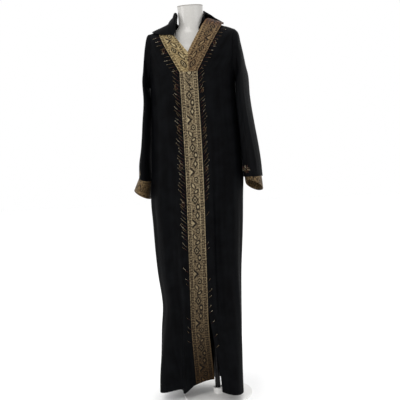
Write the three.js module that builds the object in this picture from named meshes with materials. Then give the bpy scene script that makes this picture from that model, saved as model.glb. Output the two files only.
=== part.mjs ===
// A full-length hooded kaftan hanging on a limbless dress form with a round-based stand.
// Millimetres, +Z up, the front faces -Y. The origin is the centre of the base plate's underside.
// Every piece of cloth is a thin wall with its own outline, 0.3 mm from its neighbour at each seam.
import * as THREE from 'three';

// ---------------------------------------------------------------------------
// Driving dimensions
// ---------------------------------------------------------------------------

const CLOTH = 2.0;             // wall of the black crepe
const TRIM = 2.4;              // wall of the woven gold trim, backed by the crepe
const SEAM = 0.3;              // space left between two pieces at a seam
const DEGREE = Math.PI / 180;
const UPRIGHT = new THREE.Vector3(0, 0, 1);
const TURN_STEP = 0.4;         // degrees either way, over which a surface's slope is taken
const RISE_STEP = 1.5;         // height either way, over which it is taken

const UNDERARM = 1310;         // height where the side seams end and the armholes begin
const YOKE = 1366;             // height where the upright trim meets the two neck trims
const SHOULDER = 1565;         // height of the shoulder line beside the neck
const SHOULDER_DROP = 0.36;    // fall of the shoulder line for each millimetre outwards
const SHOULDER_ROUND = 130;    // height over which chest and back round into the shoulder line
const SHOULDER_DEPTH = 4;      // the shoulder line's place front to back
const NECK_MIDDLE = -20;       // the neck's centre, sideways
const NECK_HALF = 64;          // half of the level stretch of the shoulder line, across the neck
const NECK_RADIUS = 70;        // radius of the neckline behind the neck
const BAND_HALF = 35;          // half the width of the upright trim
const SLIT_TOP = 400;          // where the front opening parts above the hem
const ARMHOLE_SWING = 21.5;    // degrees from the side to the edge of the armhole, front and rear

const WALL_COLUMNS = { frontLeft: 14, frontRight: 12, back: 20, band: 4, arm: 4 };
const SKIRT_ROWS = 17;         // rows of a body panel from the hem to the underarm
const GATHER_FROM = 980;        // height from which a body panel's columns gather to the armhole
const ARMHOLE_ROWS = 2;        // rows from the underarm to the yoke height
const YOKE_ROWS = 7;           // rows from the yoke height to the shoulder line

// Body sections from hem to neck: mid and half are the middle and half of the width, front and rear
// the depth either way from y = 0, square the power of the rounded outline (2 is an ellipse).
const BODY_SECTIONS = [
  { z: 20, mid: -64, half: 178, front: 118, rear: 97, square: 2.5 },
  { z: 130, mid: -60, half: 176, front: 116, rear: 97, square: 2.5 },
  { z: 300, mid: -51, half: 174, front: 115, rear: 99, square: 2.4 },
  { z: 410, mid: -44, half: 170, front: 114, rear: 101, square: 2.4 },
  { z: 550, mid: -47, half: 178, front: 115, rear: 104, square: 2.4 },
  { z: 750, mid: -41, half: 187, front: 116, rear: 108, square: 2.4 },
  { z: 850, mid: -39, half: 191, front: 115, rear: 108, square: 2.4 },
  { z: 950, mid: -31, half: 190, front: 113, rear: 104, square: 2.4 },
  { z: 1060, mid: -28, half: 187, front: 112, rear: 97, square: 2.5 },
  { z: 1190, mid: -27, half: 178, front: 113, rear: 98, square: 2.7 },
  { z: 1310, mid: -26, half: 173, front: 113, rear: 103, square: 3.0 },
  { z: 1366, mid: -23, half: 175, front: 110, rear: 103, square: 3.1 },
  { z: 1440, mid: -19, half: 179, front: 104, rear: 100, square: 3.2 },
  { z: 1530, mid: -16, half: 186, front: 100, rear: 96, square: 3.2 },
];

// Large folds: at is the bearing of the crest at height foot, lean how it turns for each metre up,
// wide its half width, out how far it stands out (a trough is negative), foot and head its ends.
const FOLDS = [
  { name: 'left front hem wave', at: -62, lean: 4, wide: 20, out: 24, foot: -200, head: 420 },
  { name: 'left front trough', at: -42, lean: 6, wide: 14, out: -18, foot: -200, head: 700 },
  { name: 'left front ridge', at: -27, lean: 2, wide: 11, out: 10, foot: -200, head: 900 },
  { name: 'right front wave', at: 58, lean: 0, wide: 22, out: 30, foot: -200, head: 640 },
  { name: 'right front long trough', at: 44, lean: 2, wide: 13, out: -14, foot: 200, head: 1180 },
  { name: 'right front ridge', at: 60, lean: 0, wide: 14, out: 9, foot: 420, head: 1250 },
  { name: 'left front long ridge', at: -58, lean: 0, wide: 12, out: 8, foot: 620, head: 1290 },
  { name: 'left front long trough', at: -40, lean: 0, wide: 12, out: -8, foot: 500, head: 1200 },
  { name: 'right chest ridge', at: 38, lean: 10, wide: 11, out: 6, foot: 1080, head: 1400 },
  { name: 'left side trough', at: -88, lean: 0, wide: 12, out: -9, foot: -200, head: 800 },
  { name: 'right side trough', at: 92, lean: 0, wide: 13, out: -8, foot: -200, head: 700 },
  { name: 'back left ridge', at: -128, lean: -4, wide: 15, out: 15, foot: -200, head: 980 },
  { name: 'back left trough', at: -152, lean: -2, wide: 12, out: -16, foot: -200, head: 1050 },
  { name: 'back middle ridge', at: 180, lean: 0, wide: 16, out: 12, foot: -200, head: 1150 },
  { name: 'back right trough', at: 153, lean: 3, wide: 13, out: -17, foot: -200, head: 1000 },
  { name: 'back right ridge', at: 124, lean: 2, wide: 15, out: 14, foot: -200, head: 920 },
];
const FOLD_START = 0.3;         // share of a fold's length over which it rises from its foot
const FOLD_FADE = 0.55;        // share of a fold's length over which it dies away at its head

// How far the cloth beside the slit, trim and all, falls back towards the pole at the hem.
const HEM_TUCK = [
  { x: -126, back: 0 }, { x: -106, back: 34 }, { x: -84, back: 55 },
  { x: -10, back: 90 }, { x: 30, back: 94 },
];

const TUCK_FULL = 40;          // height below which it has fallen back all the way

// Height of the hem by bearing, all round.
const HEM = [
  { at: -180, z: 46 }, { at: -120, z: 42 }, { at: -90, z: 50 }, { at: -62, z: 41 }, { at: -42, z: 55 },
  { at: -26, z: 47 }, { at: -12, z: 62 }, { at: 25, z: 72 }, { at: 42, z: 46 }, { at: 60, z: 31 },
  { at: 78, z: 32 }, { at: 92, z: 44 }, { at: 130, z: 41 }, { at: 180, z: 46 },
];

// Middle of the upright trim by height.
const BAND_LINE = [
  { z: 20, x: -49 }, { z: 280, x: -48 }, { z: 450, x: -43 }, { z: 650, x: -37 },
  { z: 860, x: -31 }, { z: 1060, x: -28 }, { z: 1366, x: -28 }, { z: 1443, x: -27 },
];
const MARGIN = [               // black margin on the trim's right edge, widening to the hem
  { z: 20, wide: 5 }, { z: 330, wide: 2 }, { z: 1366, wide: 0.5 },
];
const SLIT = [                 // how far the right front's edge stands off the trim's margin
  { z: 20, wide: 40 }, { z: 120, wide: 36 }, { z: 230, wide: 24 }, { z: SLIT_TOP, wide: 0 },
];

// Neckline and the outer edges of the two neck trims: x by height, on the front's surface.
const TRIM_LIFT = 13;          // the right neck trim's rise over the hood's fold at the shoulder
const TRIM_LIFT_FROM = 0.5;    // share of the trim's length at which it starts to rise
const TRIM_ROLL = [6, 13];     // its rows past the shoulder line
const TRIM_TUCK = 34;          // how far the right front reaches under the raised trim
const TRIM_TUCK_FROM = 0.72;   // share of the length at which it starts to
const NECKLINE_LEFT = [{ z: YOKE, x: -28 }, { z: 1443, x: -27 }, { z: 1506, x: -77 }, { z: 1575, x: -92 }];
const NECKLINE_RIGHT = [{ z: YOKE, x: -28 }, { z: 1443, x: -27 }, { z: 1516, x: 14 }, { z: 1575, x: 54 }];
const TRIM_EDGE_LEFT = [{ z: YOKE, x: -63 }, { z: 1560, x: -167 }];
const TRIM_EDGE_RIGHT = [{ z: YOKE, x: 7 }, { z: 1560, x: 117 }];

// Sleeves: side is -1 on the left. head lists the rings that turn about the underarm point, out and
// up the far end of each from there. drop lists the rings below: x across, half and deep the half
// sizes, fore the ring's place front to back, tilt its outer end's rise, pitch its front's, and yaw
// its front's swing in towards the body.
const UNDERARM_SPACE = 4;
const SLEEVES = {
  left: {
    side: -1,
    head: [
      { out: -4, up: 219, deep: 66, fore: 3, yaw: 0 }, { out: 5, up: 190, deep: 72, fore: 4, yaw: 0 },
      { out: 12, up: 146, deep: 78, fore: 4, yaw: 0 }, { out: 19, up: 92, deep: 83, fore: 5, yaw: 0 },
      { out: 26, up: 42, deep: 86, fore: 6, yaw: 0 },
    ],
    drop: [
      { z: 1255, x: -217, half: 14, deep: 87, fore: 6, tilt: 4, pitch: 0, yaw: 0 },
      { z: 1160, x: -228, half: 17, deep: 89, fore: 8, tilt: 3, pitch: 0, yaw: 0 },
      { z: 1060, x: -239, half: 20, deep: 88, fore: 9, tilt: 5, pitch: 0, yaw: 0 },
      { z: 1000, x: -247, half: 24, deep: 88, fore: 10, tilt: 9, pitch: 0, yaw: 0 },
      { z: 940, x: -249.5, half: 26.5, deep: 88, fore: 10, tilt: 20, pitch: 0, yaw: 0 },
    ],
    mouth: { z: 874, x: -269, half: 38, deep: 82, fore: 10, tilt: 34, pitch: 4, yaw: 0 },
  },
  right: {
    side: 1,
    head: [
      { out: 16, up: 205, deep: 64, fore: 2, yaw: 0 }, { out: 24, up: 166, deep: 70, fore: 2, yaw: 0 },
      { out: 32, up: 122, deep: 76, fore: 3, yaw: 0 }, { out: 38, up: 78, deep: 80, fore: 1, yaw: 3 },
      { out: 43, up: 36, deep: 83, fore: 0, yaw: 8 },
    ],
    drop: [
      { z: 1250, x: 174.5, half: 22.5, deep: 84, fore: 0, tilt: 6, pitch: 0, yaw: 9 },
      { z: 1150, x: 183, half: 25.5, deep: 84, fore: -4, tilt: 0, pitch: 0, yaw: 11 },
      { z: 1060, x: 192.5, half: 29, deep: 83, fore: -6, tilt: 0, pitch: 0, yaw: 12 },
      { z: 990, x: 197, half: 32.5, deep: 82, fore: -6, tilt: -1, pitch: 2, yaw: 12 },
      { z: 930, x: 198, half: 34.5, deep: 81, fore: -6, tilt: 0, pitch: 5, yaw: 12 },
    ],
    mouth: { z: 892, x: 201, half: 37, deep: 80, fore: -6, tilt: -18, pitch: 20, yaw: 12 },
  },
};
const SLEEVE_FOLDS = [         // shallow folds down a sleeve: turn round the ring, out, foot and head
  { turn: 75, wide: 34, out: 5, foot: 930, head: 1290 },
  { turn: 128, wide: 30, out: -4, foot: 930, head: 1230 },
  { turn: 232, wide: 34, out: -4, foot: 930, head: 1250 },
  { turn: 290, wide: 32, out: 5, foot: 930, head: 1280 },
];

// Hood dropped on the back, by bearing from the rear (+90 is the right side): six points of each
// section as [out from the neck's centre, height], from the neckline seam to the free edge.
const HOOD_SECTIONS = [
  { at: -147, seam: [97, 1505], lie: [96, 1511], low: [96, 1517],
    mid: [99, 1521], top: [104, 1517], edge: [110, 1507] },
  { at: -136, seam: [84, 1536], lie: [81, 1547], low: [79, 1558],
    mid: [83, 1566], top: [96, 1545], edge: [109, 1515] },
  { at: -122, seam: [72, 1553], lie: [68, 1566], low: [66, 1580],
    mid: [69, 1591], top: [86, 1566], edge: [128, 1517] },
  { at: -97, seam: [65, 1561], lie: [61, 1576], low: [60, 1591],
    mid: [65, 1604], top: [84, 1569], edge: [160, 1534] },
  { at: -70, seam: [66, 1561], lie: [62, 1576], low: [62, 1590],
    mid: [70, 1599], top: [92, 1573], edge: [144, 1545] },
  { at: -50, seam: [66, 1558], lie: [92, 1546], low: [134, 1532],
    mid: [150, 1536], top: [148, 1549], edge: [130, 1559] },
  { at: -35, seam: [66, 1549], lie: [112, 1508], low: [134, 1410],
    mid: [150, 1362], top: [172, 1440], edge: [128, 1558] },
  { at: 0, seam: [66, 1535], lie: [97, 1504], low: [113, 1345],
    mid: [140, 1294], top: [174, 1390], edge: [126, 1556] },
  { at: 33, seam: [66, 1549], lie: [112, 1508], low: [134, 1416],
    mid: [149, 1370], top: [170, 1446], edge: [127, 1558] },
  { at: 48, seam: [66, 1558], lie: [92, 1546], low: [134, 1532],
    mid: [150, 1536], top: [147, 1548], edge: [127, 1558] },
  { at: 67, seam: [64, 1560], lie: [60, 1576], low: [58, 1592],
    mid: [61, 1605], top: [77, 1570], edge: [133, 1560] },
  { at: 89, seam: [61, 1558], lie: [58, 1571], low: [57, 1582],
    mid: [57, 1591], top: [59, 1596], edge: [62, 1592] },
  { at: 120, seam: [64, 1550], lie: [61, 1561], low: [60, 1570],
    mid: [60, 1577], top: [61, 1581], edge: [64, 1579] },
  { at: 150, seam: [75, 1520], lie: [73, 1526], low: [72, 1531],
    mid: [72, 1535], top: [73, 1538], edge: [76, 1535] },
];
const HOOD_MIDDLE = 2;         // how far behind the form's middle the hood's sections turn
const HOOD_COLUMNS = 30;
const HOOD_ROWS = 12;

// Dress form: a smooth torso with a flat-topped neck, leaning a little off the pole.
const FORM_BOTTOM = 860;
const FORM_TOP = 1630;
const FORM_LEAN = -20;         // sideways place of the neck, from the pole
const FORM_SIDES = 32;
const FORM_SECTIONS = [
  { z: FORM_BOTTOM, half: 128, deep: 76 }, { z: 864, half: 138, deep: 84 }, { z: 885, half: 150, deep: 93 },
  { z: 930, half: 156, deep: 98 }, { z: 990, half: 150, deep: 94 }, { z: 1070, half: 126, deep: 84 },
  { z: 1130, half: 119, deep: 82 }, { z: 1210, half: 130, deep: 90 }, { z: 1300, half: 142, deep: 95 },
  { z: 1380, half: 148, deep: 92 }, { z: 1440, half: 152, deep: 84 }, { z: 1475, half: 153, deep: 74 },
  { z: 1497, half: 143, deep: 64 }, { z: 1512, half: 119, deep: 57 }, { z: 1524, half: 90, deep: 52 },
  { z: 1535, half: 67, deep: 50 }, { z: 1546, half: 55, deep: 49 }, { z: 1560, half: 52, deep: 48 },
  { z: 1592, half: 51, deep: 48 }, { z: FORM_TOP, half: 52, deep: 48 },
];

const POLE_RADIUS = 11;
const BASE_RADIUS = 145;
const BASE_THICK = 6;
const COLLAR_RADIUS = 20;
const COLLAR_TOP = 30;
const ROUND_SIDES = 40;

// ---------------------------------------------------------------------------
// Reading tables
// ---------------------------------------------------------------------------

/** A smooth function through one column of a table whose rows rise in another column. */
function smooth(table, along, name) {
  const stop = table.map((row) => row[along]);
  const value = table.map((row) => row[name]);
  const last = stop.length - 1;
  const slope = value.map((_, i) => {
    const low = Math.max(i - 1, 0);
    const high = Math.min(i + 1, last);
    return (value[high] - value[low]) / (stop[high] - stop[low]);
  });
  return (at) => {
    if (at <= stop[0]) return value[0];
    if (at >= stop[last]) return value[last];
    let i = 0;
    while (at > stop[i + 1]) i += 1;
    const step = stop[i + 1] - stop[i];
    const t = (at - stop[i]) / step;
    const rise = t * t * (3 - 2 * t);
    return value[i] * (1 - rise) + value[i + 1] * rise
      + step * (slope[i] * t * (1 - t) * (1 - t) - slope[i + 1] * t * t * (1 - t));
  };
}

/** A straight-line function through one column of such a table, carried on past its last row. */
function straight(table, along, name) {
  return (at) => {
    let i = 0;
    while (i < table.length - 2 && at > table[i + 1][along]) i += 1;
    const [low, high] = [table[i], table[i + 1]];
    return low[name] + (high[name] - low[name]) * (at - low[along]) / (high[along] - low[along]);
  };
}

/** 0 below low, 1 above high, and a soft ramp between. */
function ramp(at, low, high) {
  return THREE.MathUtils.smoothstep(at, low, high);
}

/** 1 in the middle of a fold, 0 at its edge, where away is 1, and soft between. */
function hump(away) {
  return 0.5 + 0.5 * Math.cos(Math.PI * away);
}

const bodyMid = smooth(BODY_SECTIONS, 'z', 'mid');
const bodyHalf = smooth(BODY_SECTIONS, 'z', 'half');
const bodyFront = smooth(BODY_SECTIONS, 'z', 'front');
const bodyRear = smooth(BODY_SECTIONS, 'z', 'rear');
const bodySquare = smooth(BODY_SECTIONS, 'z', 'square');
const hemHeight = smooth(HEM, 'at', 'z');
const bandMiddle = smooth(BAND_LINE, 'z', 'x');
const marginWidth = smooth(MARGIN, 'z', 'wide');
const slitWidth = smooth(SLIT, 'z', 'wide');
const hemTuck = smooth(HEM_TUCK, 'x', 'back');
const necklineLeft = straight(NECKLINE_LEFT, 'z', 'x');
const necklineRight = straight(NECKLINE_RIGHT, 'z', 'x');
const trimEdgeLeft = straight(TRIM_EDGE_LEFT, 'z', 'x');
const trimEdgeRight = straight(TRIM_EDGE_RIGHT, 'z', 'x');

// ---------------------------------------------------------------------------
// The body's surface
// ---------------------------------------------------------------------------

/** How far the folds push the cloth out at a bearing (degrees from the front) and a height. */
function foldOut(bearing, height) {
  let out = 0;
  for (const fold of FOLDS) {
    const crest = fold.at + fold.lean * (height - Math.max(fold.foot, 0)) / 1000;
    const away = Math.abs(THREE.MathUtils.euclideanModulo(bearing - crest + 180, 360) - 180) / fold.wide;
    if (away < 1) {
      const length = fold.head - fold.foot;
      const rise = 1 - ramp(height, fold.head - FOLD_FADE * length, fold.head);
      const start = fold.foot < 0 ? 1 : ramp(height, fold.foot, fold.foot + FOLD_START * length);
      out += fold.out * hump(away) * rise * start;
    }
  }
  return out;
}

/** Height of the shoulder line above a place across the body. */
function shoulderLine(x) {
  return SHOULDER - SHOULDER_DROP * Math.max(0, Math.abs(x - NECK_MIDDLE) - NECK_HALF);
}

/**
 * A point of the body's outer surface. bearing is in degrees, 0 at the front and 90 on the right;
 * level is the height, and near the shoulder line the way up round it, reaching it at its height.
 */
function bodyPoint(bearing, level) {
  const angle = bearing * DEGREE;
  const half = bodyHalf(level);
  const deep = Math.cos(angle) > 0 ? bodyFront(level) : bodyRear(level);
  const power = bodySquare(level);
  const radius = (Math.abs(Math.sin(angle) / half) ** power + Math.abs(Math.cos(angle) / deep) ** power)
    ** (-1 / power) + foldOut(bearing, level);
  const x = bodyMid(level) + radius * Math.sin(angle);
  const flatY = -radius * Math.cos(angle);
  const top = shoulderLine(x);
  const up = (level - top + SHOULDER_ROUND) / SHOULDER_ROUND;
  if (up <= 0) return new THREE.Vector3(x, flatY, level);
  const turn = up * Math.PI / 2;
  const y = SHOULDER_DEPTH + (flatY - SHOULDER_DEPTH) * Math.cos(turn);
  return new THREE.Vector3(x, y, top - SHOULDER_ROUND + SHOULDER_ROUND * Math.sin(turn));
}

/** The surface's outward direction at a bearing and a level. */
function bodyNormal(bearing, level) {
  const across = bodyPoint(bearing + TURN_STEP, level).sub(bodyPoint(bearing - TURN_STEP, level));
  const up = bodyPoint(bearing, level + RISE_STEP).sub(bodyPoint(bearing, level - RISE_STEP));
  return across.cross(up).normalize();
}

/** The bearing on the front at which the surface stands at x, at a level. */
function bearingAt(x, level) {
  let low = -89;
  let high = 89;
  for (let i = 0; i < 30; i += 1) {
    const middle = (low + high) / 2;
    if (bodyPoint(middle, level).x < x) low = middle;
    else high = middle;
  }
  return (low + high) / 2;
}

/** A mark on the surface: its point and its outward direction. */
function mark(bearing, level) {
  return { at: bodyPoint(bearing, level), out: bodyNormal(bearing, level) };
}

/** A mark on the left front or the trim, which fall back towards the pole at the hem. */
function tuckedMark(bearing, level) {
  const fallen = (b, l) => {
    const at = bodyPoint(b, l);
    return at.setY(at.y + hemTuck(at.x) * (1 - ramp(at.z, TUCK_FULL, SLIT_TOP)));
  };
  const across = fallen(bearing + TURN_STEP, level).sub(fallen(bearing - TURN_STEP, level));
  const up = fallen(bearing, level + RISE_STEP).sub(fallen(bearing, level - RISE_STEP));
  return { at: fallen(bearing, level), out: across.cross(up).normalize() };
}

// ---------------------------------------------------------------------------
// Walls
// ---------------------------------------------------------------------------

/** The volume inside a closed triangle mesh, negative where its faces point in. */
function signedVolume(points, faces) {
  let volume = 0;
  for (const [a, b, c] of faces) {
    volume += points[a].dot(points[b].clone().cross(points[c]));
  }
  return volume / 6;
}

/** A geometry from points and triangles, with its faces turned to point out. */
function closedGeometry(points, faces) {
  const turned = signedVolume(points, faces) < 0 ? faces.map(([a, b, c]) => [a, c, b]) : faces;
  const geometry = new THREE.BufferGeometry();
  geometry.setAttribute('position', new THREE.Float32BufferAttribute(points.flatMap((p) => p.toArray()), 3));
  geometry.setIndex(turned.flat());
  geometry.computeVertexNormals();
  return geometry;
}

/**
 * A closed wall of even thickness behind a grid of marks, rows by columns. A tube's last column
 * joins its first.
 */
function wall(rows, thick, tube = false) {
  const count = rows[0].length;
  const points = [];
  for (const row of rows) for (const { at } of row) points.push(at.clone());
  const inner = points.length;
  for (const row of rows) for (const { at, out } of row) points.push(at.clone().addScaledVector(out, -thick));
  const faces = [];
  const quad = (a, b, c, d) => faces.push([a, b, c], [a, c, d]);
  const across = tube ? count : count - 1;
  for (let r = 0; r + 1 < rows.length; r += 1) {
    for (let c = 0; c < across; c += 1) {
      const next = (c + 1) % count;
      const [a, b, d, e] = [r * count + c, r * count + next, (r + 1) * count + next, (r + 1) * count + c];
      quad(a, b, d, e);
      quad(inner + e, inner + d, inner + b, inner + a);
    }
  }
  const rim = (a, b) => quad(b, a, inner + a, inner + b);
  const top = (rows.length - 1) * count;
  for (let c = 0; c < across; c += 1) {
    const next = (c + 1) % count;
    rim(c, next);
    rim(top + next, top + c);
  }
  if (!tube) {
    for (let r = 0; r + 1 < rows.length; r += 1) {
      rim((r + 1) * count, r * count);
      rim(r * count + count - 1, (r + 1) * count + count - 1);
    }
  }
  return closedGeometry(points, faces);
}

/** Outward directions worked out from a grid's own points, for walls that lie on no other surface. */
function withNormals(rows, turn = 1) {
  const last = rows.length - 1;
  const end = rows[0].length - 1;
  return rows.map((row, r) => row.map((at, c) => {
    const along = rows[Math.min(r + 1, last)][c].clone().sub(rows[Math.max(r - 1, 0)][c]);
    const across = row[Math.min(c + 1, end)].clone().sub(row[Math.max(c - 1, 0)]);
    return { at, out: across.cross(along).normalize().multiplyScalar(turn) };
  }));
}

// ---------------------------------------------------------------------------
// Fronts, back and trims
// ---------------------------------------------------------------------------

/** Evenly spaced numbers from low to high, with both ends. */
function steps(low, high, count) {
  return Array.from({ length: count + 1 }, (_, i) => low + (high - low) * i / count);
}

/** Degrees from the front at which a panel meets the armhole or side seam, at a level. */
function armholeBearing(level) {
  const up = THREE.MathUtils.clamp((level - UNDERARM) / (YOKE - UNDERARM), 0, 1);
  return 90 - ARMHOLE_SWING * Math.sqrt(1 - (1 - up) ** 2);
}

/** Half a seam's space as an angle at the side of the body. */
function seamAngle(level) {
  return SEAM / 2 / bodyHalf(level) / DEGREE;
}

/**
 * The bearing of a column a share of the way from outer to inner. Towards the underarm the columns
 * gather between the armhole's upper bearing and inner, so that they run on smoothly above it.
 */
function gathered(share, outer, inner, level, columns) {
  const even = outer + (inner - outer) * share;
  const upper = Math.sign(outer) * armholeBearing(YOKE);
  const close = upper + (inner - upper) * share;
  const pull = ramp(level, GATHER_FROM, UNDERARM) * Math.min(1, share * columns / 2);
  return level > UNDERARM ? even : even + (close - even) * pull;
}

/** The shares of the way from the hem to the yoke height at which the body panels have rows. */
function lowerRows() {
  const skirt = steps(0, UNDERARM, SKIRT_ROWS).map((z) => ({ share: z / UNDERARM, above: 0 }));
  const armhole = steps(0, 1, ARMHOLE_ROWS).slice(1).map((above) => ({ share: 1, above }));
  return [...skirt, ...armhole];
}

/** The level of a lower row at a bearing. */
function rowLevel(row, bearing) {
  const hem = hemHeight(bearing);
  return hem + (UNDERARM - hem) * row.share + (YOKE - UNDERARM) * row.above;
}

/** The level of an upper row at x, a share of the way from the yoke height to the shoulder seam. */
function upperLevel(share, x) {
  return YOKE + (shoulderLine(x) - SEAM - YOKE) * share;
}

/** The level and x at which an upright edge, given as x by height, crosses an upper row. */
function edgeMark(edge, share) {
  let x = edge(YOKE);
  let level = YOKE;
  for (let i = 0; i < 40; i += 1) {
    level = upperLevel(share, x);
    const z = bodyPoint(bearingAt(x, level), level).z;
    x = edge(z);
  }
  return { x, level };
}

/** One front, from its side seam and armhole to the trim. side is -1 for the left one. */
function frontRows(side, columns) {
  const trimEdge = (z) => (side < 0 ? bandMiddle(z) - BAND_HALF : rightFrontEdge(z)) + side * SEAM;
  const place = side < 0 ? tuckedMark : mark;
  const rows = lowerRows().map((row) => {
    let inner = bearingAt(trimEdge(UNDERARM * row.share), Math.max(UNDERARM * row.share, 40));
    for (let i = 0; i < 6; i += 1) {
      const level = rowLevel(row, inner);
      inner = bearingAt(trimEdge(level), level);
    }
    return steps(0, 1, columns).map((share) => {
      const guess = side * 90 + (inner - side * 90) * share;
      const level = rowLevel(row, guess);
      const outer = side * (armholeBearing(level) - seamAngle(level));
      const bearing = gathered(share, outer, inner, level, columns);
      return place(bearing, rowLevel(row, bearing));
    });
  });
  for (const up of steps(0, 1, YOKE_ROWS).slice(1)) {
    const tuck = TRIM_TUCK * ramp(up, TRIM_TUCK_FROM, 1);
    const edge = side < 0
      ? (z) => trimEdgeLeft(z) - 1.5 * SEAM
      : (z) => trimEdgeRight(z) + 1.5 * SEAM - tuck;
    const inner = edgeMark(edge, up);
    const innerBearing = bearingAt(inner.x, inner.level);
    rows.push(steps(0, 1, columns).map((share) => {
      const outer = side * armholeBearing(YOKE);
      const bearing = outer + (innerBearing - outer) * share;
      let level = upperLevel(up, inner.x);
      for (let i = 0; i < 8; i += 1) level = upperLevel(up, bodyPoint(bearing, level).x);
      return mark(bearing, level);
    }));
  }
  return rows;
}

/** The right front's free edge, which stands off the trim below the top of the slit. */
function rightFrontEdge(z) {
  return bandMiddle(z) + BAND_HALF + marginWidth(z) + (z < SLIT_TOP ? slitWidth(z) : 0);
}

/** The level at which the back ends above a place x: the shoulder seam, or the neckline's curve. */
function backTop(x) {
  const top = shoulderLine(x) - SEAM;
  const reach = NECK_RADIUS ** 2 - (x - NECK_MIDDLE) ** 2;
  if (reach <= 0) return top;
  const share = (Math.sqrt(reach) - SHOULDER_DEPTH / 2) / (bodyRear(SHOULDER) - SHOULDER_DEPTH);
  const turn = Math.acos(Math.max(share, 0));
  return Math.min(top, shoulderLine(x) - SHOULDER_ROUND + SHOULDER_ROUND * turn * 2 / Math.PI);
}

/** The back, from the right side seam and armhole round to the left ones. */
function backRows(columns) {
  const rows = lowerRows().map((row) => steps(0, 1, columns).map((share) => {
    const guess = 90 + 180 * share;
    const level = rowLevel(row, guess > 180 ? guess - 360 : guess);
    const outer = armholeBearing(level) - seamAngle(level);
    const side = share > 0.5 ? -1 : 1;
    const away = gathered(1 - Math.abs(1 - 2 * share), side * outer, 0, level, columns / 2);
    const turned = side * 180 - away;
    return mark(turned, rowLevel(row, turned));
  }));
  for (const up of steps(0, 1, YOKE_ROWS).slice(1)) {
    rows.push(steps(0, 1, columns).map((share) => {
      const outer = 180 - armholeBearing(YOKE);
      const bearing = outer + (360 - 2 * outer) * share;
      let level = YOKE;
      for (let i = 0; i < 12; i += 1) level = YOKE + (backTop(bodyPoint(bearing, level).x) - YOKE) * up;
      return mark(bearing, level);
    }));
  }
  return rows;
}

/** The upright trim with its black margin, from the hem to the yoke height. */
function placketRows(columns) {
  return lowerRows().map((row) => {
    let middle = 8;
    for (let i = 0; i < 6; i += 1) {
      const level = rowLevel(row, middle);
      middle = bearingAt(bandMiddle(level), level);
    }
    return steps(0, 1, columns).map((share) => {
      let bearing = middle;
      let level = rowLevel(row, bearing);
      for (let i = 0; i < 6; i += 1) {
        const low = bandMiddle(level) - BAND_HALF;
        const high = bandMiddle(level) + BAND_HALF + marginWidth(level);
        bearing = bearingAt(low + (high - low) * share, level);
        level = rowLevel(row, bearing) - (row.above === 1 ? SEAM : 0);
      }
      return tuckedMark(bearing, level);
    });
  });
}

/** A neck trim, from the yoke height past the neckline's point to the shoulder seam. */
function neckTrimRows(side, columns) {
  const outerEdge = side < 0 ? trimEdgeLeft : trimEdgeRight;
  const innerEdge = side < 0
    ? (z) => necklineLeft(z) - SEAM / 2
    : (z) => necklineRight(z) + SEAM / 2;
  const past = side > 0 ? TRIM_ROLL : [];
  const within = steps(0, 1, YOKE_ROWS).map((up) => ({ up, past: 0 }));
  const rows = [...within, ...past.map((far) => ({ up: 1, past: far }))];
  return rows.map((row) => {
    const outer = edgeMark(outerEdge, row.up);
    const inner = edgeMark(innerEdge, row.up);
    const lift = side > 0 ? TRIM_LIFT * ramp(row.up, TRIM_LIFT_FROM, 1) - row.past / 3 : 0;
    return steps(0, 1, columns).map((share) => {
      const x = outer.x + (inner.x - outer.x) * share;
      const level = Math.min(outer.level + (inner.level - outer.level) * share, shoulderLine(x) - SEAM);
      const bearing = bearingAt(x, level);
      const { at, out } = mark(bearing, level + row.past);
      return { at: at.addScaledVector(out, lift), out };
    });
  });
}

// ---------------------------------------------------------------------------
// Sleeves and cuffs
// ---------------------------------------------------------------------------

/** The armhole's edge as a ring: underarm, up the front to the shoulder, and down the back. */
function armholeRing(side) {
  const rows = [
    ...lowerRows().slice(SKIRT_ROWS).map((row) => ({ row })),
    ...steps(0, 1, YOKE_ROWS).slice(1).map((up) => ({ up })),
  ];
  const edge = ({ row, up }, front) => {
    const bearingAtLevel = (level) => side * (front ? armholeBearing(level) : 180 - armholeBearing(level));
    let level = row ? rowLevel(row, side * 90) : YOKE;
    for (let i = 0; i < 8 && !row; i += 1) {
      level = upperLevel(up, bodyPoint(bearingAtLevel(YOKE), level).x);
    }
    const bearing = bearingAtLevel(level);
    const forward = front ? side : -side;
    const at = bodyPoint(bearing, level);
    const beyond = bodyPoint(bearing + forward * TURN_STEP, level).sub(at).normalize();
    const away = row && row.above === 0 ? new THREE.Vector3(side, 0, 2) : beyond;
    return { at: at.addScaledVector(away, 4 * SEAM), out: bodyNormal(bearing, level) };
  };
  const front = rows.map((item) => edge(item, true));
  const rear = rows.slice(1, -1).map((item) => edge(item, false)).reverse();
  return [...front, ...rear];
}

/** A flattened ring across a sleeve, starting at the side next to the body and going by the front. */
function sleeveRing(ring, side, count, foldAt) {
  const tilt = ring.tilt * DEGREE;
  const pitch = ring.pitch * DEGREE;
  const yaw = ring.yaw * DEGREE;
  const outwards = new THREE.Vector3(side * Math.cos(tilt), 0, Math.sin(tilt));
  const forwards = new THREE.Vector3(0, -Math.cos(pitch), Math.sin(pitch));
  outwards.applyAxisAngle(UPRIGHT, -side * yaw);
  forwards.applyAxisAngle(UPRIGHT, -side * yaw);
  const middle = new THREE.Vector3(ring.x, ring.fore, ring.z);
  return Array.from({ length: count }, (_, i) => {
    const turn = 2 * Math.PI * i / count;
    const reach = foldAt(i * 360 / count, ring.z);
    const slope = outwards.clone().multiplyScalar(-Math.cos(turn) * ring.deep);
    const out = slope.addScaledVector(forwards, Math.sin(turn) * ring.half).normalize();
    const at = middle.clone()
      .addScaledVector(outwards, -Math.cos(turn) * ring.half)
      .addScaledVector(forwards, Math.sin(turn) * ring.deep)
      .addScaledVector(out, reach);
    return { at, out };
  });
}

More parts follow.
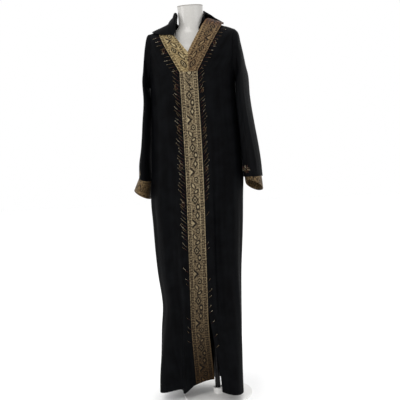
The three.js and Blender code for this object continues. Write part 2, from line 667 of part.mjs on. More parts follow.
/** How far a sleeve's folds push it out at a turn round the ring and a height. */
function sleeveFold(turn, z) {
  let out = 0;
  for (const fold of SLEEVE_FOLDS) {
    const away = Math.abs(turn - fold.turn) / fold.wide;
    const height = 1 - ramp(z, fold.foot, fold.head);
    if (away < 1) out += fold.out * hump(away) * height;
  }
  return out;
}

/** The rings of a sleeve's head, turning from the armhole to hang straight down. */
function headRings(sleeve) {
  const underarm = bodyMid(UNDERARM) + sleeve.side * (bodyHalf(UNDERARM) + UNDERARM_SPACE);
  return sleeve.head.map(({ out, up, deep, fore, yaw }) => {
    const reach = Math.hypot(out, up);
    const lean = Math.atan2(up, out);
    const middle = (reach + UNDERARM_SPACE) / 2;
    return {
      x: underarm + sleeve.side * middle * Math.cos(lean),
      z: UNDERARM - UNDERARM_SPACE + middle * Math.sin(lean),
      half: (reach - UNDERARM_SPACE) / 2,
      deep,
      fore,
      tilt: lean / DEGREE,
      pitch: 0,
      yaw,
    };
  });
}

/** Every ring of a sleeve, from the armhole to the cuff seam. */
function sleeveRows(sleeve) {
  const armhole = armholeRing(sleeve.side);
  const count = armhole.length;
  const rings = [...headRings(sleeve), ...sleeve.drop];
  return [armhole, ...rings.map((ring) => sleeveRing(ring, sleeve.side, count, sleeveFold))];
}

/** The cuff, from just below the sleeve's end to its open mouth. */
function cuffRows(sleeve) {
  const count = armholeRing(sleeve.side).length;
  const top = sleeve.drop[sleeve.drop.length - 1];
  const mouth = sleeve.mouth;
  const names = ['x', 'z', 'half', 'deep', 'fore', 'tilt', 'pitch', 'yaw'];
  return steps(0, 1, 3).map((share) => {
    const between = (name) => top[name] + (mouth[name] - top[name]) * share;
    const ring = Object.fromEntries(names.map((name) => [name, between(name)]));
    if (share === 0) {
      ring.z -= SEAM * Math.cos(top.tilt * DEGREE);
      ring.x += sleeve.side * SEAM * Math.sin(top.tilt * DEGREE);
    }
    return sleeveRing(ring, sleeve.side, count, () => 0);
  });
}

// ---------------------------------------------------------------------------
// Hood
// ---------------------------------------------------------------------------

const HOOD_POINTS = ['seam', 'lie', 'low', 'mid', 'top', 'edge'];
const hoodReach = HOOD_POINTS.map((name) => hoodColumn(name, 0));
const hoodHeight = HOOD_POINTS.map((name) => hoodColumn(name, 1));

/** A smooth function of bearing through one number of one of the hood's section points. */
function hoodColumn(name, index) {
  return smooth(HOOD_SECTIONS.map((row) => ({ at: row.at, value: row[name][index] })), 'at', 'value');
}

/** The curve of the hood's section at a bearing from the rear, in the plane of that bearing. */
function hoodSection(bearing) {
  const point = (_, i) => new THREE.Vector3(hoodReach[i](bearing), 0, hoodHeight[i](bearing));
  const points = HOOD_POINTS.map(point);
  return new THREE.CatmullRomCurve3(points, false, 'centripetal');
}

/** A point of the hood at a bearing from the rear and a share of the way from seam to free edge. */
function hoodPoint(bearing, share) {
  const angle = bearing * DEGREE;
  const at = hoodSection(bearing).getPoint(share);
  return new THREE.Vector3(NECK_MIDDLE + at.x * Math.sin(angle), HOOD_MIDDLE + at.x * Math.cos(angle), at.z);
}

/** The hood's grid, seam to free edge, left front round the back to the right front. */
function hoodRows() {
  const bearings = steps(HOOD_SECTIONS[0].at, HOOD_SECTIONS[HOOD_SECTIONS.length - 1].at, HOOD_COLUMNS);
  const row = (share) => bearings.map((bearing) => hoodPoint(bearing, share));
  return withNormals(steps(0, 1, HOOD_ROWS).map(row));
}

// ---------------------------------------------------------------------------
// Dress form and stand
// ---------------------------------------------------------------------------

/** The torso and neck, closed flat at both ends. */
function formGeometry() {
  const points = [];
  const faces = [];
  const half = smooth(FORM_SECTIONS, 'z', 'half');
  const deep = smooth(FORM_SECTIONS, 'z', 'deep');
  for (const { z } of FORM_SECTIONS) {
    const middle = FORM_LEAN * (z - FORM_BOTTOM) / (FORM_TOP - FORM_BOTTOM);
    for (let i = 0; i < FORM_SIDES; i += 1) {
      const turn = 2 * Math.PI * i / FORM_SIDES;
      points.push(new THREE.Vector3(middle + half(z) * Math.cos(turn), deep(z) * Math.sin(turn), z));
    }
  }
  const last = (FORM_SECTIONS.length - 1) * FORM_SIDES;
  for (let r = 0; r + 1 < FORM_SECTIONS.length; r += 1) {
    for (let i = 0; i < FORM_SIDES; i += 1) {
      const next = (i + 1) % FORM_SIDES;
      const [a, b] = [r * FORM_SIDES + i, r * FORM_SIDES + next];
      faces.push([a, b, b + FORM_SIDES], [a, b + FORM_SIDES, a + FORM_SIDES]);
    }
  }
  for (let i = 1; i + 1 < FORM_SIDES; i += 1) {
    faces.push([0, i + 1, i], [last, last + i, last + i + 1]);
  }
  return closedGeometry(points, faces);
}

/** A solid of revolution about Z from a profile of [radius, height] that starts and ends on the axis. */
function turned(profile) {
  const points = profile.map(([radius, height]) => new THREE.Vector2(radius, height));
  return new THREE.LatheGeometry(points, ROUND_SIDES).rotateX(Math.PI / 2);
}

/** The dark tube between the base and the form. */
function poleGeometry() {
  const bottom = BASE_THICK + SEAM;
  const top = FORM_BOTTOM - SEAM;
  return turned([[0, bottom], [POLE_RADIUS, bottom], [POLE_RADIUS, top], [0, top]]);
}

/** The round plate with a collar that the pole stands in. */
function baseGeometry() {
  const edge = 2;
  const socket = POLE_RADIUS + SEAM;
  return turned([
    [0, 0], [BASE_RADIUS, 0], [BASE_RADIUS, BASE_THICK - edge], [BASE_RADIUS - edge, BASE_THICK],
    [COLLAR_RADIUS, BASE_THICK], [COLLAR_RADIUS, COLLAR_TOP - edge], [COLLAR_RADIUS - edge, COLLAR_TOP],
    [socket, COLLAR_TOP], [socket, BASE_THICK], [0, BASE_THICK],
  ]);
}

// ---------------------------------------------------------------------------
// The whole object
// ---------------------------------------------------------------------------

const BLACK = { color: 0x101114, roughness: 0.72, metalness: 0 };
const GOLD = { color: 0x96876a, roughness: 0.5, metalness: 0.3 };
const WHITE = { color: 0xdedad4, roughness: 0.22, metalness: 0 };
const DARK_METAL = { color: 0x2a2a2c, roughness: 0.3, metalness: 1 };
const PALE_METAL = { color: 0xd8d6d2, roughness: 0.4, metalness: 0.2 };

/** A named mesh with its own material. */
function piece(name, geometry, finish) {
  const mesh = new THREE.Mesh(geometry, new THREE.MeshStandardMaterial(finish));
  mesh.name = name;
  return mesh;
}

const kaftan = new THREE.Group();
kaftan.add(
  piece('base', baseGeometry(), PALE_METAL),
  piece('pole', poleGeometry(), DARK_METAL),
  piece('dress_form', formGeometry(), WHITE),
  piece('front_left', wall(frontRows(-1, WALL_COLUMNS.frontLeft), CLOTH), BLACK),
  piece('front_right', wall(frontRows(1, WALL_COLUMNS.frontRight), CLOTH), BLACK),
  piece('back', wall(backRows(WALL_COLUMNS.back), CLOTH), BLACK),
  piece('placket_band', wall(placketRows(WALL_COLUMNS.band), TRIM), GOLD),
  piece('neck_band_left', wall(neckTrimRows(-1, WALL_COLUMNS.arm), TRIM), GOLD),
  piece('neck_band_right', wall(neckTrimRows(1, WALL_COLUMNS.arm), TRIM), GOLD),
  piece('hood', wall(hoodRows(), CLOTH), BLACK),
);
for (const [name, sleeve] of Object.entries(SLEEVES)) {
  kaftan.add(piece(`sleeve_${name}`, wall(sleeveRows(sleeve), CLOTH, true), BLACK));
  kaftan.add(piece(`cuff_${name}`, wall(cuffRows(sleeve), TRIM, true), GOLD));
}

export default kaftan;
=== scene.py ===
"""Dresses the frame of a hooded kaftan: crepe panels, woven trims, metal stitching, form and stand.

Tables hold millimetres, heights are measured up from the floor and bearings are degrees round the
body, 0 at the front and 90 on the right. Pieces are made in metres, in the frame's own place.
"""
import logging
import math
import random
from dataclasses import dataclass
from enum import Enum
from typing import Callable, Optional, Sequence, Union

import bmesh
import bpy
import numpy as np
from mathutils import Matrix, Vector


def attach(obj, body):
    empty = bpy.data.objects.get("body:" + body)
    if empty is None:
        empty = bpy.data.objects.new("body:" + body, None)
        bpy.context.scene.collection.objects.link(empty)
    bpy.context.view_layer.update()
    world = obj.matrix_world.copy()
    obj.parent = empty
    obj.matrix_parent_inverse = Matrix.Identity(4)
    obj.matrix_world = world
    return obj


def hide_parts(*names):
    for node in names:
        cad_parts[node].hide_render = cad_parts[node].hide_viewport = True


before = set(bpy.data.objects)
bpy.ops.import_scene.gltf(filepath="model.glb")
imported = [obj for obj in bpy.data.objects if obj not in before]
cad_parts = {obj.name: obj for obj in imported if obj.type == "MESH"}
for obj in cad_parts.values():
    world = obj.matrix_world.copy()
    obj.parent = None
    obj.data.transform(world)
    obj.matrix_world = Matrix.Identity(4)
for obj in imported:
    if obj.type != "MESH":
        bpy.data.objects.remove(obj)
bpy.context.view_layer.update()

log = logging.getLogger("kaftan")

MM = 0.001
Colour = tuple[float, float, float]

# ---------------------------------------------------------------------------------------------
# Sizes
# ---------------------------------------------------------------------------------------------

CREPE_THICK = 1.1      # the black cloth
TRIM_THICK = 1.6       # the woven trim with its backing
SEAM = 0.3             # space left between two pieces
UNDERARM = 1310.0      # where the side seams end and the armholes begin
YOKE = 1366.0          # where the upright trim meets the neck trims
SHOULDER = 1565.0      # the shoulder line beside the neck
SHOULDER_DROP = 0.36   # its fall for each millimetre outwards
SHOULDER_ROUND = 130.0  # height over which chest and back round into it
SHOULDER_DEPTH = 4.0   # its place front to back
NECK_MIDDLE = -20.0    # the neck's centre, sideways
NECK_HALF = 64.0       # half of the level stretch across the neck
NECK_RADIUS = 70.0     # the neckline behind the neck
BAND_HALF = 35.0       # half the width of the upright trim
SLIT_TOP = 400.0       # where the front opening parts above the hem
TUCK_FULL = 40.0       # height below which the cloth beside it has fallen back all the way
ARMHOLE_SWING = 21.5   # degrees from the side to the armhole's edge
GATHER_FROM = 980.0    # height from which a panel's threads gather to the armhole
FOLD_FADE = 0.55       # share of a fold's length over which it dies away
FOLD_START = 0.3       # share of it over which it rises from its foot
TURN_STEP = 0.4        # degrees either way, over which a surface's slope is taken
RISE_STEP = 1.5        # height either way, over which it is taken
HALVINGS = 24          # rounds of halving when a place is searched for


@dataclass(frozen=True)
class Section:
    """One level outline of the body: middle and half width, depth to front and rear, squareness."""

    z: float
    mid: float
    half: float
    front: float
    rear: float
    square: float


SECTIONS = (
    Section(20, -64, 178, 118, 97, 2.5), Section(130, -60, 176, 116, 97, 2.5),
    Section(300, -51, 174, 115, 99, 2.4), Section(410, -44, 170, 114, 101, 2.4),
    Section(550, -47, 178, 115, 104, 2.4), Section(750, -41, 187, 116, 108, 2.4),
    Section(850, -39, 191, 115, 108, 2.4), Section(950, -31, 190, 113, 104, 2.4),
    Section(1060, -28, 187, 112, 97, 2.5), Section(1190, -27, 178, 113, 98, 2.7),
    Section(1310, -26, 173, 113, 103, 3.0), Section(1366, -23, 175, 110, 103, 3.1),
    Section(1440, -19, 179, 104, 100, 3.2), Section(1530, -16, 186, 100, 96, 3.2),
)


@dataclass(frozen=True)
class Fold:
    """A large fold: crest bearing at its foot, turn for each metre up, half width, height, ends."""

    at: float
    lean: float
    wide: float
    out: float
    foot: float
    head: float


FOLDS = (
    Fold(-62, 4, 20, 24, -200, 420), Fold(-42, 6, 14, -18, -200, 700),
    Fold(-27, 2, 11, 10, -200, 900), Fold(58, 0, 22, 30, -200, 640),
    Fold(44, 2, 13, -14, 200, 1180), Fold(60, 0, 14, 9, 420, 1250),
    Fold(-58, 0, 12, 8, 620, 1290), Fold(-40, 0, 12, -8, 500, 1200),
    Fold(38, 10, 11, 6, 1080, 1400), Fold(-88, 0, 12, -9, -200, 800),
    Fold(92, 0, 13, -8, -200, 700), Fold(-128, -4, 15, 15, -200, 980),
    Fold(-152, -2, 12, -16, -200, 1050), Fold(180, 0, 16, 12, -200, 1150),
    Fold(153, 3, 13, -17, -200, 1000), Fold(124, 2, 15, 14, -200, 920),
)


@dataclass(frozen=True)
class Crease:
    """A soft crease: bearing at its foot, shift to its head, ends, half width and height."""

    at: float
    shift: float
    foot: float
    head: float
    wide: float
    out: float
    bow: float = 0.0


BODY_CREASES = (
    # right front, from the trim outwards
    Crease(44, -2, 160, 1190, 8, -5.0, 1.5), Crease(50, 1, 60, 1120, 10, 3.6, -1.0),
    Crease(36, 3, 90, 700, 9, -2.2, 1.0), Crease(63, -3, 40, 880, 8, -2.8, 1.5),
    Crease(71, -1, 40, 1080, 9, 2.8, -1.5), Crease(81, -4, 120, 980, 8, -3.0, 1.0),
    Crease(33, 4, 930, 1400, 9, 2.2, 1.5), Crease(42, 9, 1130, 1440, 8, -2.6, -1.0),
    Crease(57, 4, 900, 1330, 8, -2.6, 1.5), Crease(28, 5, 1210, 1420, 7, -1.6, 0.5),
    # left front
    Crease(-55, 2, 300, 1230, 8, 2.6, 1.0), Crease(-47, 1, 420, 1090, 7, -2.8, -1.5),
    Crease(-70, 3, 60, 930, 9, -3.0, 1.0), Crease(-33, -4, 60, 640, 8, -2.0, 1.0),
    Crease(-79, 2, 500, 1160, 8, 2.6, 1.0), Crease(-38, -6, 1020, 1400, 9, 1.8, -1.0),
    Crease(-62, -3, 1080, 1420, 8, -2.2, 1.0), Crease(-24, -2, 640, 1010, 7, 1.3, 0.5),
    # back
    Crease(104, 3, 60, 1060, 10, -4.2, 1.5), Crease(116, -2, 160, 1220, 9, 2.8, -1.5),
    Crease(135, 3, 60, 900, 9, -4.0, 2.0), Crease(145, -2, 420, 1300, 8, 2.4, 1.0),
    Crease(163, 2, 80, 1110, 9, 3.4, -2.0), Crease(171, -3, 240, 1260, 7, -2.6, 1.5),
    Crease(-171, 3, 60, 1010, 9, -3.4, 1.5), Crease(-160, -3, 300, 1240, 8, 2.6, -1.0),
    Crease(-141, 2, 60, 880, 10, 3.6, 1.5), Crease(-134, -2, 380, 1270, 8, -2.6, 1.0),
    Crease(-115, 3, 60, 1000, 9, -4.0, -1.5), Crease(-103, -2, 220, 1180, 8, 2.4, 1.5),
    # from the shoulders over the shoulder blades
    Crease(122, 16, 1210, 1480, 9, -2.2, 2.0), Crease(-122, -16, 1190, 1470, 9, -2.2, 2.0),
    Crease(150, 8, 1240, 1470, 8, 1.8, 1.0), Crease(-148, -8, 1260, 1460, 8, 1.8, 1.0),
)


HEM_TUCK = ((-126, 0), (-106, 34), (-84, 55), (-10, 90), (30, 94))
HEM = (
    (-180, 46), (-120, 42), (-90, 50), (-62, 41), (-42, 55), (-26, 47), (-12, 62),
    (25, 72), (42, 46), (60, 31), (78, 32), (92, 44), (130, 41), (180, 46),
)
BAND_LINE = (
    (20, -49), (280, -48), (450, -43), (650, -37), (860, -31), (1060, -28), (1366, -28), (1443, -27),
)
MARGIN = ((20, 5), (330, 2), (1366, 0.5))
SLIT = ((20, 40), (120, 36), (230, 24), (SLIT_TOP, 0))
NECKLINE = {
    -1: ((YOKE, -28), (1443, -27), (1506, -77), (1575, -92)),
    1: ((YOKE, -28), (1443, -27), (1516, 14), (1575, 54)),
}
TRIM_EDGE = {-1: ((YOKE, -63), (1560, -167)), 1: ((YOKE, 7), (1560, 117))}
NECK_TRIM_HALF = 33.0  # half a neck trim's full width, before its mitre
TRIM_LIFT = 13.0       # the right neck trim's rise over the hood's fold
TRIM_LIFT_FROM = 0.5   # share of its length at which it starts to rise
TRIM_ROLL = 13.0       # how far it rolls on past the shoulder line
TRIM_TUCK = 34.0       # how far the right front reaches under it
TRIM_TUCK_FROM = 0.72  # share of the length at which it starts to

# ---------------------------------------------------------------------------------------------
# Tables as functions
# ---------------------------------------------------------------------------------------------


class Curve:
    """A smooth function through the rows of a table, level beyond both ends."""

    def __init__(self, rows: Sequence[tuple[float, float]]) -> None:
        """Reads the table.

        Args:
            rows: pairs of a stop and its value, the stops rising.
        """
        self.stops = np.array([row[0] for row in rows], float)
        self.values = np.array([row[1] for row in rows], float)
        here = np.arange(len(rows))
        low, high = np.maximum(here - 1, 0), np.minimum(here + 1, len(rows) - 1)
        self.slopes = (self.values[high] - self.values[low]) / (self.stops[high] - self.stops[low])

    def place(self, at: np.ndarray) -> tuple[np.ndarray, np.ndarray, np.ndarray]:
        """The row before each place, the step to the next one and the share of it passed."""
        row = np.clip(np.searchsorted(self.stops, at, side="right") - 1, 0, len(self.stops) - 2)
        step = self.stops[row + 1] - self.stops[row]
        return row, step, (at - self.stops[row]) / step

    def __call__(self, at: Union[float, np.ndarray]) -> np.ndarray:
        """The value at each place."""
        row, step, t = self.place(np.asarray(at, float))
        t = np.clip(t, 0, 1)
        rise = t * t * (3 - 2 * t)
        bend = self.slopes[row] * t * (1 - t) ** 2 - self.slopes[row + 1] * t * t * (1 - t)
        return self.values[row] * (1 - rise) + self.values[row + 1] * rise + step * bend


class Line(Curve):
    """Straight runs through the rows of a table, carried on beyond both ends."""

    def __call__(self, at: Union[float, np.ndarray]) -> np.ndarray:
        """The value at each place."""
        row, _, t = self.place(np.asarray(at, float))
        return self.values[row] + (self.values[row + 1] - self.values[row]) * t


def ease(at: Union[float, np.ndarray], low: float, high: float) -> np.ndarray:
    """0 below low, 1 above high and a soft ramp between."""
    t = np.clip((np.asarray(at, float) - low) / (high - low), 0, 1)
    return t * t * (3 - 2 * t)


def hump(away: np.ndarray) -> np.ndarray:
    """A soft rise: 1 at 0, falling to 0 at 1 and beyond."""
    return np.where(np.abs(away) < 1, 0.5 + 0.5 * np.cos(np.pi * np.clip(away, -1, 1)), 0)


def turned(bearing: np.ndarray) -> np.ndarray:
    """Bearings brought into -180 to 180."""
    return (np.asarray(bearing, float) + 180) % 360 - 180


def through(stations: np.ndarray, shares: np.ndarray) -> np.ndarray:
    """Points on the smooth curves through matching points of several stations.

    Args:
        stations: stations by points by 3.
        shares: how far along, from 0 at the first station to 1 at the last.

    Returns:
        Shares by points by 3.
    """
    first = 2 * stations[0] - stations[1]
    last = 2 * stations[-1] - stations[-2]
    line = np.concatenate([first[None], stations, last[None]])
    gaps = np.maximum(np.linalg.norm(np.diff(line, axis=0), axis=-1, keepdims=True) ** 0.5, 0.01)
    rows = []
    for share in shares:
        reach = share * (len(stations) - 1)
        i = min(int(reach), len(stations) - 2)
        t = reach - i
        a, b, c, d = line[i:i + 4]
        before, here, after = gaps[i:i + 3]
        leave = ((b - a) / before - (c - a) / (before + here) + (c - b) / here) * here
        arrive = ((c - b) / here - (d - b) / (here + after) + (d - c) / after) * here
        rows.append(b + leave * t + (3 * (c - b) - 2 * leave - arrive) * t * t
                    + (2 * (b - c) + leave + arrive) * t ** 3)
    return np.array(rows)


def even_shares(stations: np.ndarray, count: int) -> np.ndarray:
    """Shares that space rows evenly along stations that are not."""
    steps = np.linalg.norm(np.diff(stations, axis=0), axis=-1).mean(axis=1)
    along = np.concatenate([[0], np.cumsum(steps)])
    return np.interp(np.linspace(0, along[-1], count + 1), along, np.linspace(0, 1, len(stations)))


# ---------------------------------------------------------------------------------------------
# The body's surface
# ---------------------------------------------------------------------------------------------


@dataclass
class Grid:
    """A sheet as rows of points in millimetres, with its place in the flat cut beside each."""

    at: np.ndarray
    cut: np.ndarray
    tube: bool = False


def cut_of(at: np.ndarray, start: int = 0) -> np.ndarray:
    """The flat cut's coordinates of a grid: millimetres along each row from a column, and up."""
    across = np.linalg.norm(np.diff(at, axis=1), axis=-1)
    across = np.concatenate([np.zeros((len(at), 1)), np.cumsum(across, axis=1)], axis=1)
    up = np.linalg.norm(np.diff(at, axis=0), axis=-1)
    up = np.concatenate([np.zeros((1, at.shape[1])), np.cumsum(up, axis=0)], axis=0)
    return np.stack([across - across[:, start:start + 1], up], axis=-1)


class Body:
    """The kaftan's body as one surface, and the panels and trims cut on it."""

    def __init__(self) -> None:
        """Reads the tables."""
        column = lambda name: Curve([(s.z, getattr(s, name)) for s in SECTIONS])
        self.mid, self.half = column("mid"), column("half")
        self.front, self.rear, self.square = column("front"), column("rear"), column("square")
        self.hem, self.tuck = Curve(HEM), Curve(HEM_TUCK)
        self.band, self.margin, self.slit = Curve(BAND_LINE), Curve(MARGIN), Curve(SLIT)
        self.neckline = {side: Line(rows) for side, rows in NECKLINE.items()}
        self.trim_edge = {side: Line(rows) for side, rows in TRIM_EDGE.items()}

    def folds(self, bearing: np.ndarray, level: np.ndarray) -> np.ndarray:
        """How far the large folds push the cloth out."""
        out = np.zeros(np.broadcast(bearing, level).shape)
        for fold in FOLDS:
            crest = fold.at + fold.lean * (level - max(fold.foot, 0)) / 1000
            length = fold.head - fold.foot
            fade = 1 - ease(level, fold.head - FOLD_FADE * length, fold.head)
            start = 1 if fold.foot < 0 else ease(level, fold.foot, fold.foot + FOLD_START * length)
            out = out + fold.out * hump(turned(bearing - crest) / fold.wide) * fade * start
        return out

    def shoulder(self, x: np.ndarray) -> np.ndarray:
        """Height of the shoulder line above a place across the body."""
        return SHOULDER - SHOULDER_DROP * np.maximum(0, np.abs(x - NECK_MIDDLE) - NECK_HALF)

    def point(self, bearing: np.ndarray, level: np.ndarray) -> np.ndarray:
        """The surface at bearings and levels, without its small creases."""
        angle = np.radians(bearing)
        sin, cos = np.sin(angle), np.cos(angle)
        deep = np.where(cos > 0, self.front(level), self.rear(level))
        power = self.square(level)
        reach = (np.abs(sin / self.half(level)) ** power + np.abs(cos / deep) ** power) ** (-1 / power)
        reach = reach + self.folds(bearing, level)
        x, flat = self.mid(level) + reach * sin, -reach * cos
        start = self.shoulder(x) - SHOULDER_ROUND
        turn = np.maximum(level - start, 0) / SHOULDER_ROUND * np.pi / 2
        y = SHOULDER_DEPTH + (flat - SHOULDER_DEPTH) * np.cos(turn)
        z = np.where(turn > 0, start + SHOULDER_ROUND * np.sin(turn), level)
        return np.stack(np.broadcast_arrays(x, y, z), axis=-1)

    def fallen(self, bearing: np.ndarray, level: np.ndarray) -> np.ndarray:
        """The same, for cloth that falls back towards the pole beside the slit."""
        at = self.point(bearing, level)
        at[..., 1] += self.tuck(at[..., 0]) * (1 - ease(at[..., 2], TUCK_FULL, SLIT_TOP))
        return at

    def outward(self, place: Callable, bearing: np.ndarray, level: np.ndarray) -> np.ndarray:
        """The surface's outward direction."""
        across = place(bearing + TURN_STEP, level) - place(bearing - TURN_STEP, level)
        up = place(bearing, level + RISE_STEP) - place(bearing, level - RISE_STEP)
        out = np.cross(across, up)
        return out / np.linalg.norm(out, axis=-1, keepdims=True)

    def creases(self, bearing: np.ndarray, level: np.ndarray) -> np.ndarray:
        """How far the small creases lift the cloth or let it sink."""
        out = np.zeros(np.broadcast(bearing, level).shape)
        for c in BODY_CREASES:
            t = (level - c.foot) / (c.head - c.foot)
            middle = c.at + c.shift * t + c.bow * np.sin(np.pi * np.clip(t, 0, 1) * 2)
            away = turned(bearing - middle) / (c.wide * (0.75 + 0.5 * np.clip(1 - t, 0, 1)))
            ends = ease(t, 0.0, 0.3) * (1 - ease(t, 0.6, 1.0))
            if c.foot < 100:
                ends = 1 - ease(t, 0.45, 1.0)
            out = out + c.out * hump(away) * ends
        return out

    def marks(self, bearing: np.ndarray, level: np.ndarray, fallen: bool = False,
              lift: Union[float, np.ndarray] = 0.0) -> np.ndarray:
        """Finished points: the surface with its creases, and moved out by a lift."""
        place = self.fallen if fallen else self.point
        out = self.outward(place, bearing, level)
        push = self.creases(bearing, level) + lift
        return place(bearing, level) + out * np.asarray(push)[..., None]

    def bearing_at(self, x: np.ndarray, level: np.ndarray) -> np.ndarray:
        """The bearing on the front at which the surface stands at x, at a level."""
        low, high = np.full(np.shape(x), -89.0), np.full(np.shape(x), 89.0)
        for _ in range(HALVINGS):
            middle = (low + high) / 2
            short = self.point(middle, level)[..., 0] < x
            low, high = np.where(short, middle, low), np.where(short, high, middle)
        return (low + high) / 2

    def level_at(self, x: np.ndarray, z: np.ndarray) -> np.ndarray:
        """The level of a point of the front at x that stands at height z."""
        start = self.shoulder(x) - SHOULDER_ROUND
        share = np.clip((z - start) / SHOULDER_ROUND, 0, 1)
        return np.where(z > start, start + SHOULDER_ROUND * np.arcsin(share) * 2 / np.pi, z)

    # The panels' edges

    def armhole(self, level: np.ndarray) -> np.ndarray:
        """Degrees from the front to the side seam or armhole edge."""
        up = np.clip((level - UNDERARM) / (YOKE - UNDERARM), 0, 1)
        return 90 - ARMHOLE_SWING * np.sqrt(1 - (1 - up) ** 2)

    def gathered(self, share: np.ndarray, outer: np.ndarray, inner: np.ndarray, level: np.ndarray,
                 quick: float) -> np.ndarray:
        """Bearings from outer to inner that draw together towards the underarm."""
        even = outer + (inner - outer) * share
        upper = np.sign(outer) * self.armhole(YOKE)
        close = upper + (inner - upper) * share
        return even + (close - even) * ease(level, GATHER_FROM, UNDERARM) * np.minimum(1, share * quick)

    def row_level(self, share: np.ndarray, above: np.ndarray, bearing: np.ndarray) -> np.ndarray:
        """The level of a lower row: a share of the way up, then of the way past the underarm."""
        hem = self.hem(turned(bearing))
        return hem + (UNDERARM - hem) * share + (YOKE - UNDERARM) * above

    def upper_level(self, share: np.ndarray, x: np.ndarray) -> np.ndarray:
        """The level of an upper row: a share of the way from the yoke to the shoulder seam."""
        return YOKE + (self.shoulder(x) - SEAM - YOKE) * share

    def edge_mark(self, edge: Callable, share: np.ndarray) -> tuple[np.ndarray, np.ndarray]:
        """Where an edge, given as x by height, crosses upper rows: x and level."""
        x = edge(np.full(np.shape(share), YOKE))
        level = x
        for _ in range(HALVINGS):
            level = self.upper_level(share, x)
            x = edge(self.point(self.bearing_at(x, level), level)[..., 2])
        return x, level

    def back_top(self, x: np.ndarray) -> np.ndarray:
        """The level at which the back ends: the shoulder seam, or the neckline's curve."""
        top = self.shoulder(x) - SEAM
        reach = np.sqrt(np.maximum(NECK_RADIUS ** 2 - (x - NECK_MIDDLE) ** 2, 0))
        share = (reach - SHOULDER_DEPTH / 2) / (self.rear(SHOULDER) - SHOULDER_DEPTH)
        curve = (self.shoulder(x) - SHOULDER_ROUND
                 + SHOULDER_ROUND * np.arccos(np.clip(share, 0, 1)) * 2 / np.pi)
        return np.where(reach > 0, np.minimum(top, curve), top)

    def right_edge(self, z: np.ndarray) -> np.ndarray:
        """The right front's free edge, off the trim below the top of the slit."""
        return self.band(z) + BAND_HALF + self.margin(z) + np.where(z < SLIT_TOP, self.slit(z), 0)

    # Panels and trims

    LOWER = np.linspace(0, 1, 151)[:, None]
    CURVED = (1 - np.cos(np.linspace(0, np.pi / 2, 9)[1:]))[:, None]
    UPPER = np.linspace(0, 1, 29)[1:][:, None]

    def lower_rows(self) -> tuple[np.ndarray, np.ndarray]:
        """Shares up to the underarm and past it, for the rows below the yoke height."""
        share = np.concatenate([self.LOWER, np.ones_like(self.CURVED)])
        above = np.concatenate([np.zeros_like(self.LOWER), self.CURVED])
        return share, above

    def front_panel(self, side: int, columns: int) -> Grid:
        """One front, from its side seam and armhole to the trim; side is -1 on the left."""
        if side < 0:
            trim = lambda z: self.band(z) - BAND_HALF - SEAM
        else:
            trim = lambda z: self.right_edge(z) + SEAM
        share, above = self.lower_rows()
        across = np.linspace(0, 1, columns + 1)[None, :]
        inner = self.bearing_at(trim(UNDERARM * share), np.maximum(UNDERARM * share, 40))
        for _ in range(6):
            level = self.row_level(share, above, inner)
            inner = self.bearing_at(trim(level), level)
        guess = side * 90 + (inner - side * 90) * across
        level = self.row_level(share, above, guess)
        outer = side * (self.armhole(level) - np.degrees(SEAM / 2 / self.half(level)))
        bearing = self.gathered(across, outer, inner, level, 6.5)
        lower = self.marks(bearing, self.row_level(share, above, bearing), fallen=side < 0)
        up = self.UPPER
        tuck = TRIM_TUCK * ease(up, TRIM_TUCK_FROM, 1) if side > 0 else 0
        edge = lambda z: self.trim_edge[side](z) + side * 1.5 * SEAM - tuck
        x, level = self.edge_mark(edge, up)
        outer = side * self.armhole(YOKE)
        bearing = outer + (self.bearing_at(x, level) - outer) * across
        level = self.upper_level(up, x)
        for _ in range(8):
            level = self.upper_level(up, self.point(bearing, level)[..., 0])
        upper = self.marks(bearing, level)
        at = np.concatenate([lower, upper])
        return Grid(at, cut_of(at, columns)) if side < 0 else Grid(at[:, ::-1], cut_of(at[:, ::-1]))

    def back_panel(self, columns: int) -> Grid:
        """The back, from the right side seam and armhole round to the left ones."""
        share, above = self.lower_rows()
        across = np.linspace(0, 1, columns + 1)[None, :]
        side = np.where(across > 0.5, -1, 1)
        level = self.row_level(share, above, 90 + 180 * across)
        outer = self.armhole(level) - np.degrees(SEAM / 2 / self.half(level))
        away = self.gathered(1 - np.abs(1 - 2 * across), side * outer, 0 * level, level, 5)
        bearing = side * 180 - away
        lower = self.marks(bearing, self.row_level(share, above, bearing))
        up = self.UPPER
        outer = 180 - self.armhole(YOKE)
        bearing = outer + (360 - 2 * outer) * across + 0 * up
        level = np.full(bearing.shape, YOKE)
        for _ in range(12):
            level = YOKE + (self.back_top(self.point(bearing, level)[..., 0]) - YOKE) * up
        at = np.concatenate([lower, self.marks(bearing, level)])
        return Grid(at, cut_of(at, columns // 2))

    def upright_trim(self, columns: int) -> Grid:
        """The upright trim with its black margin; its cut is across from the middle, and height."""
        share, above = self.lower_rows()
        across = np.linspace(0, 1, columns + 1)[None, :]
        middle = np.full(share.shape, 8.0)
        for _ in range(6):
            level = self.row_level(share, above, middle)
            middle = self.bearing_at(self.band(level), level)
        bearing = middle + 0 * across
        level = self.row_level(share, above, bearing)
        for _ in range(6):
            low, high = self.band(level) - BAND_HALF, self.band(level) + BAND_HALF + self.margin(level)
            bearing = self.bearing_at(low + (high - low) * across, level)
            level = self.row_level(share, above, bearing) - np.where(above >= 1, SEAM, 0)
        wide = 2 * BAND_HALF + self.margin(level)
        cut = np.stack([across * wide - BAND_HALF, level], axis=-1)
        return Grid(self.marks(bearing, level, fallen=True), cut)

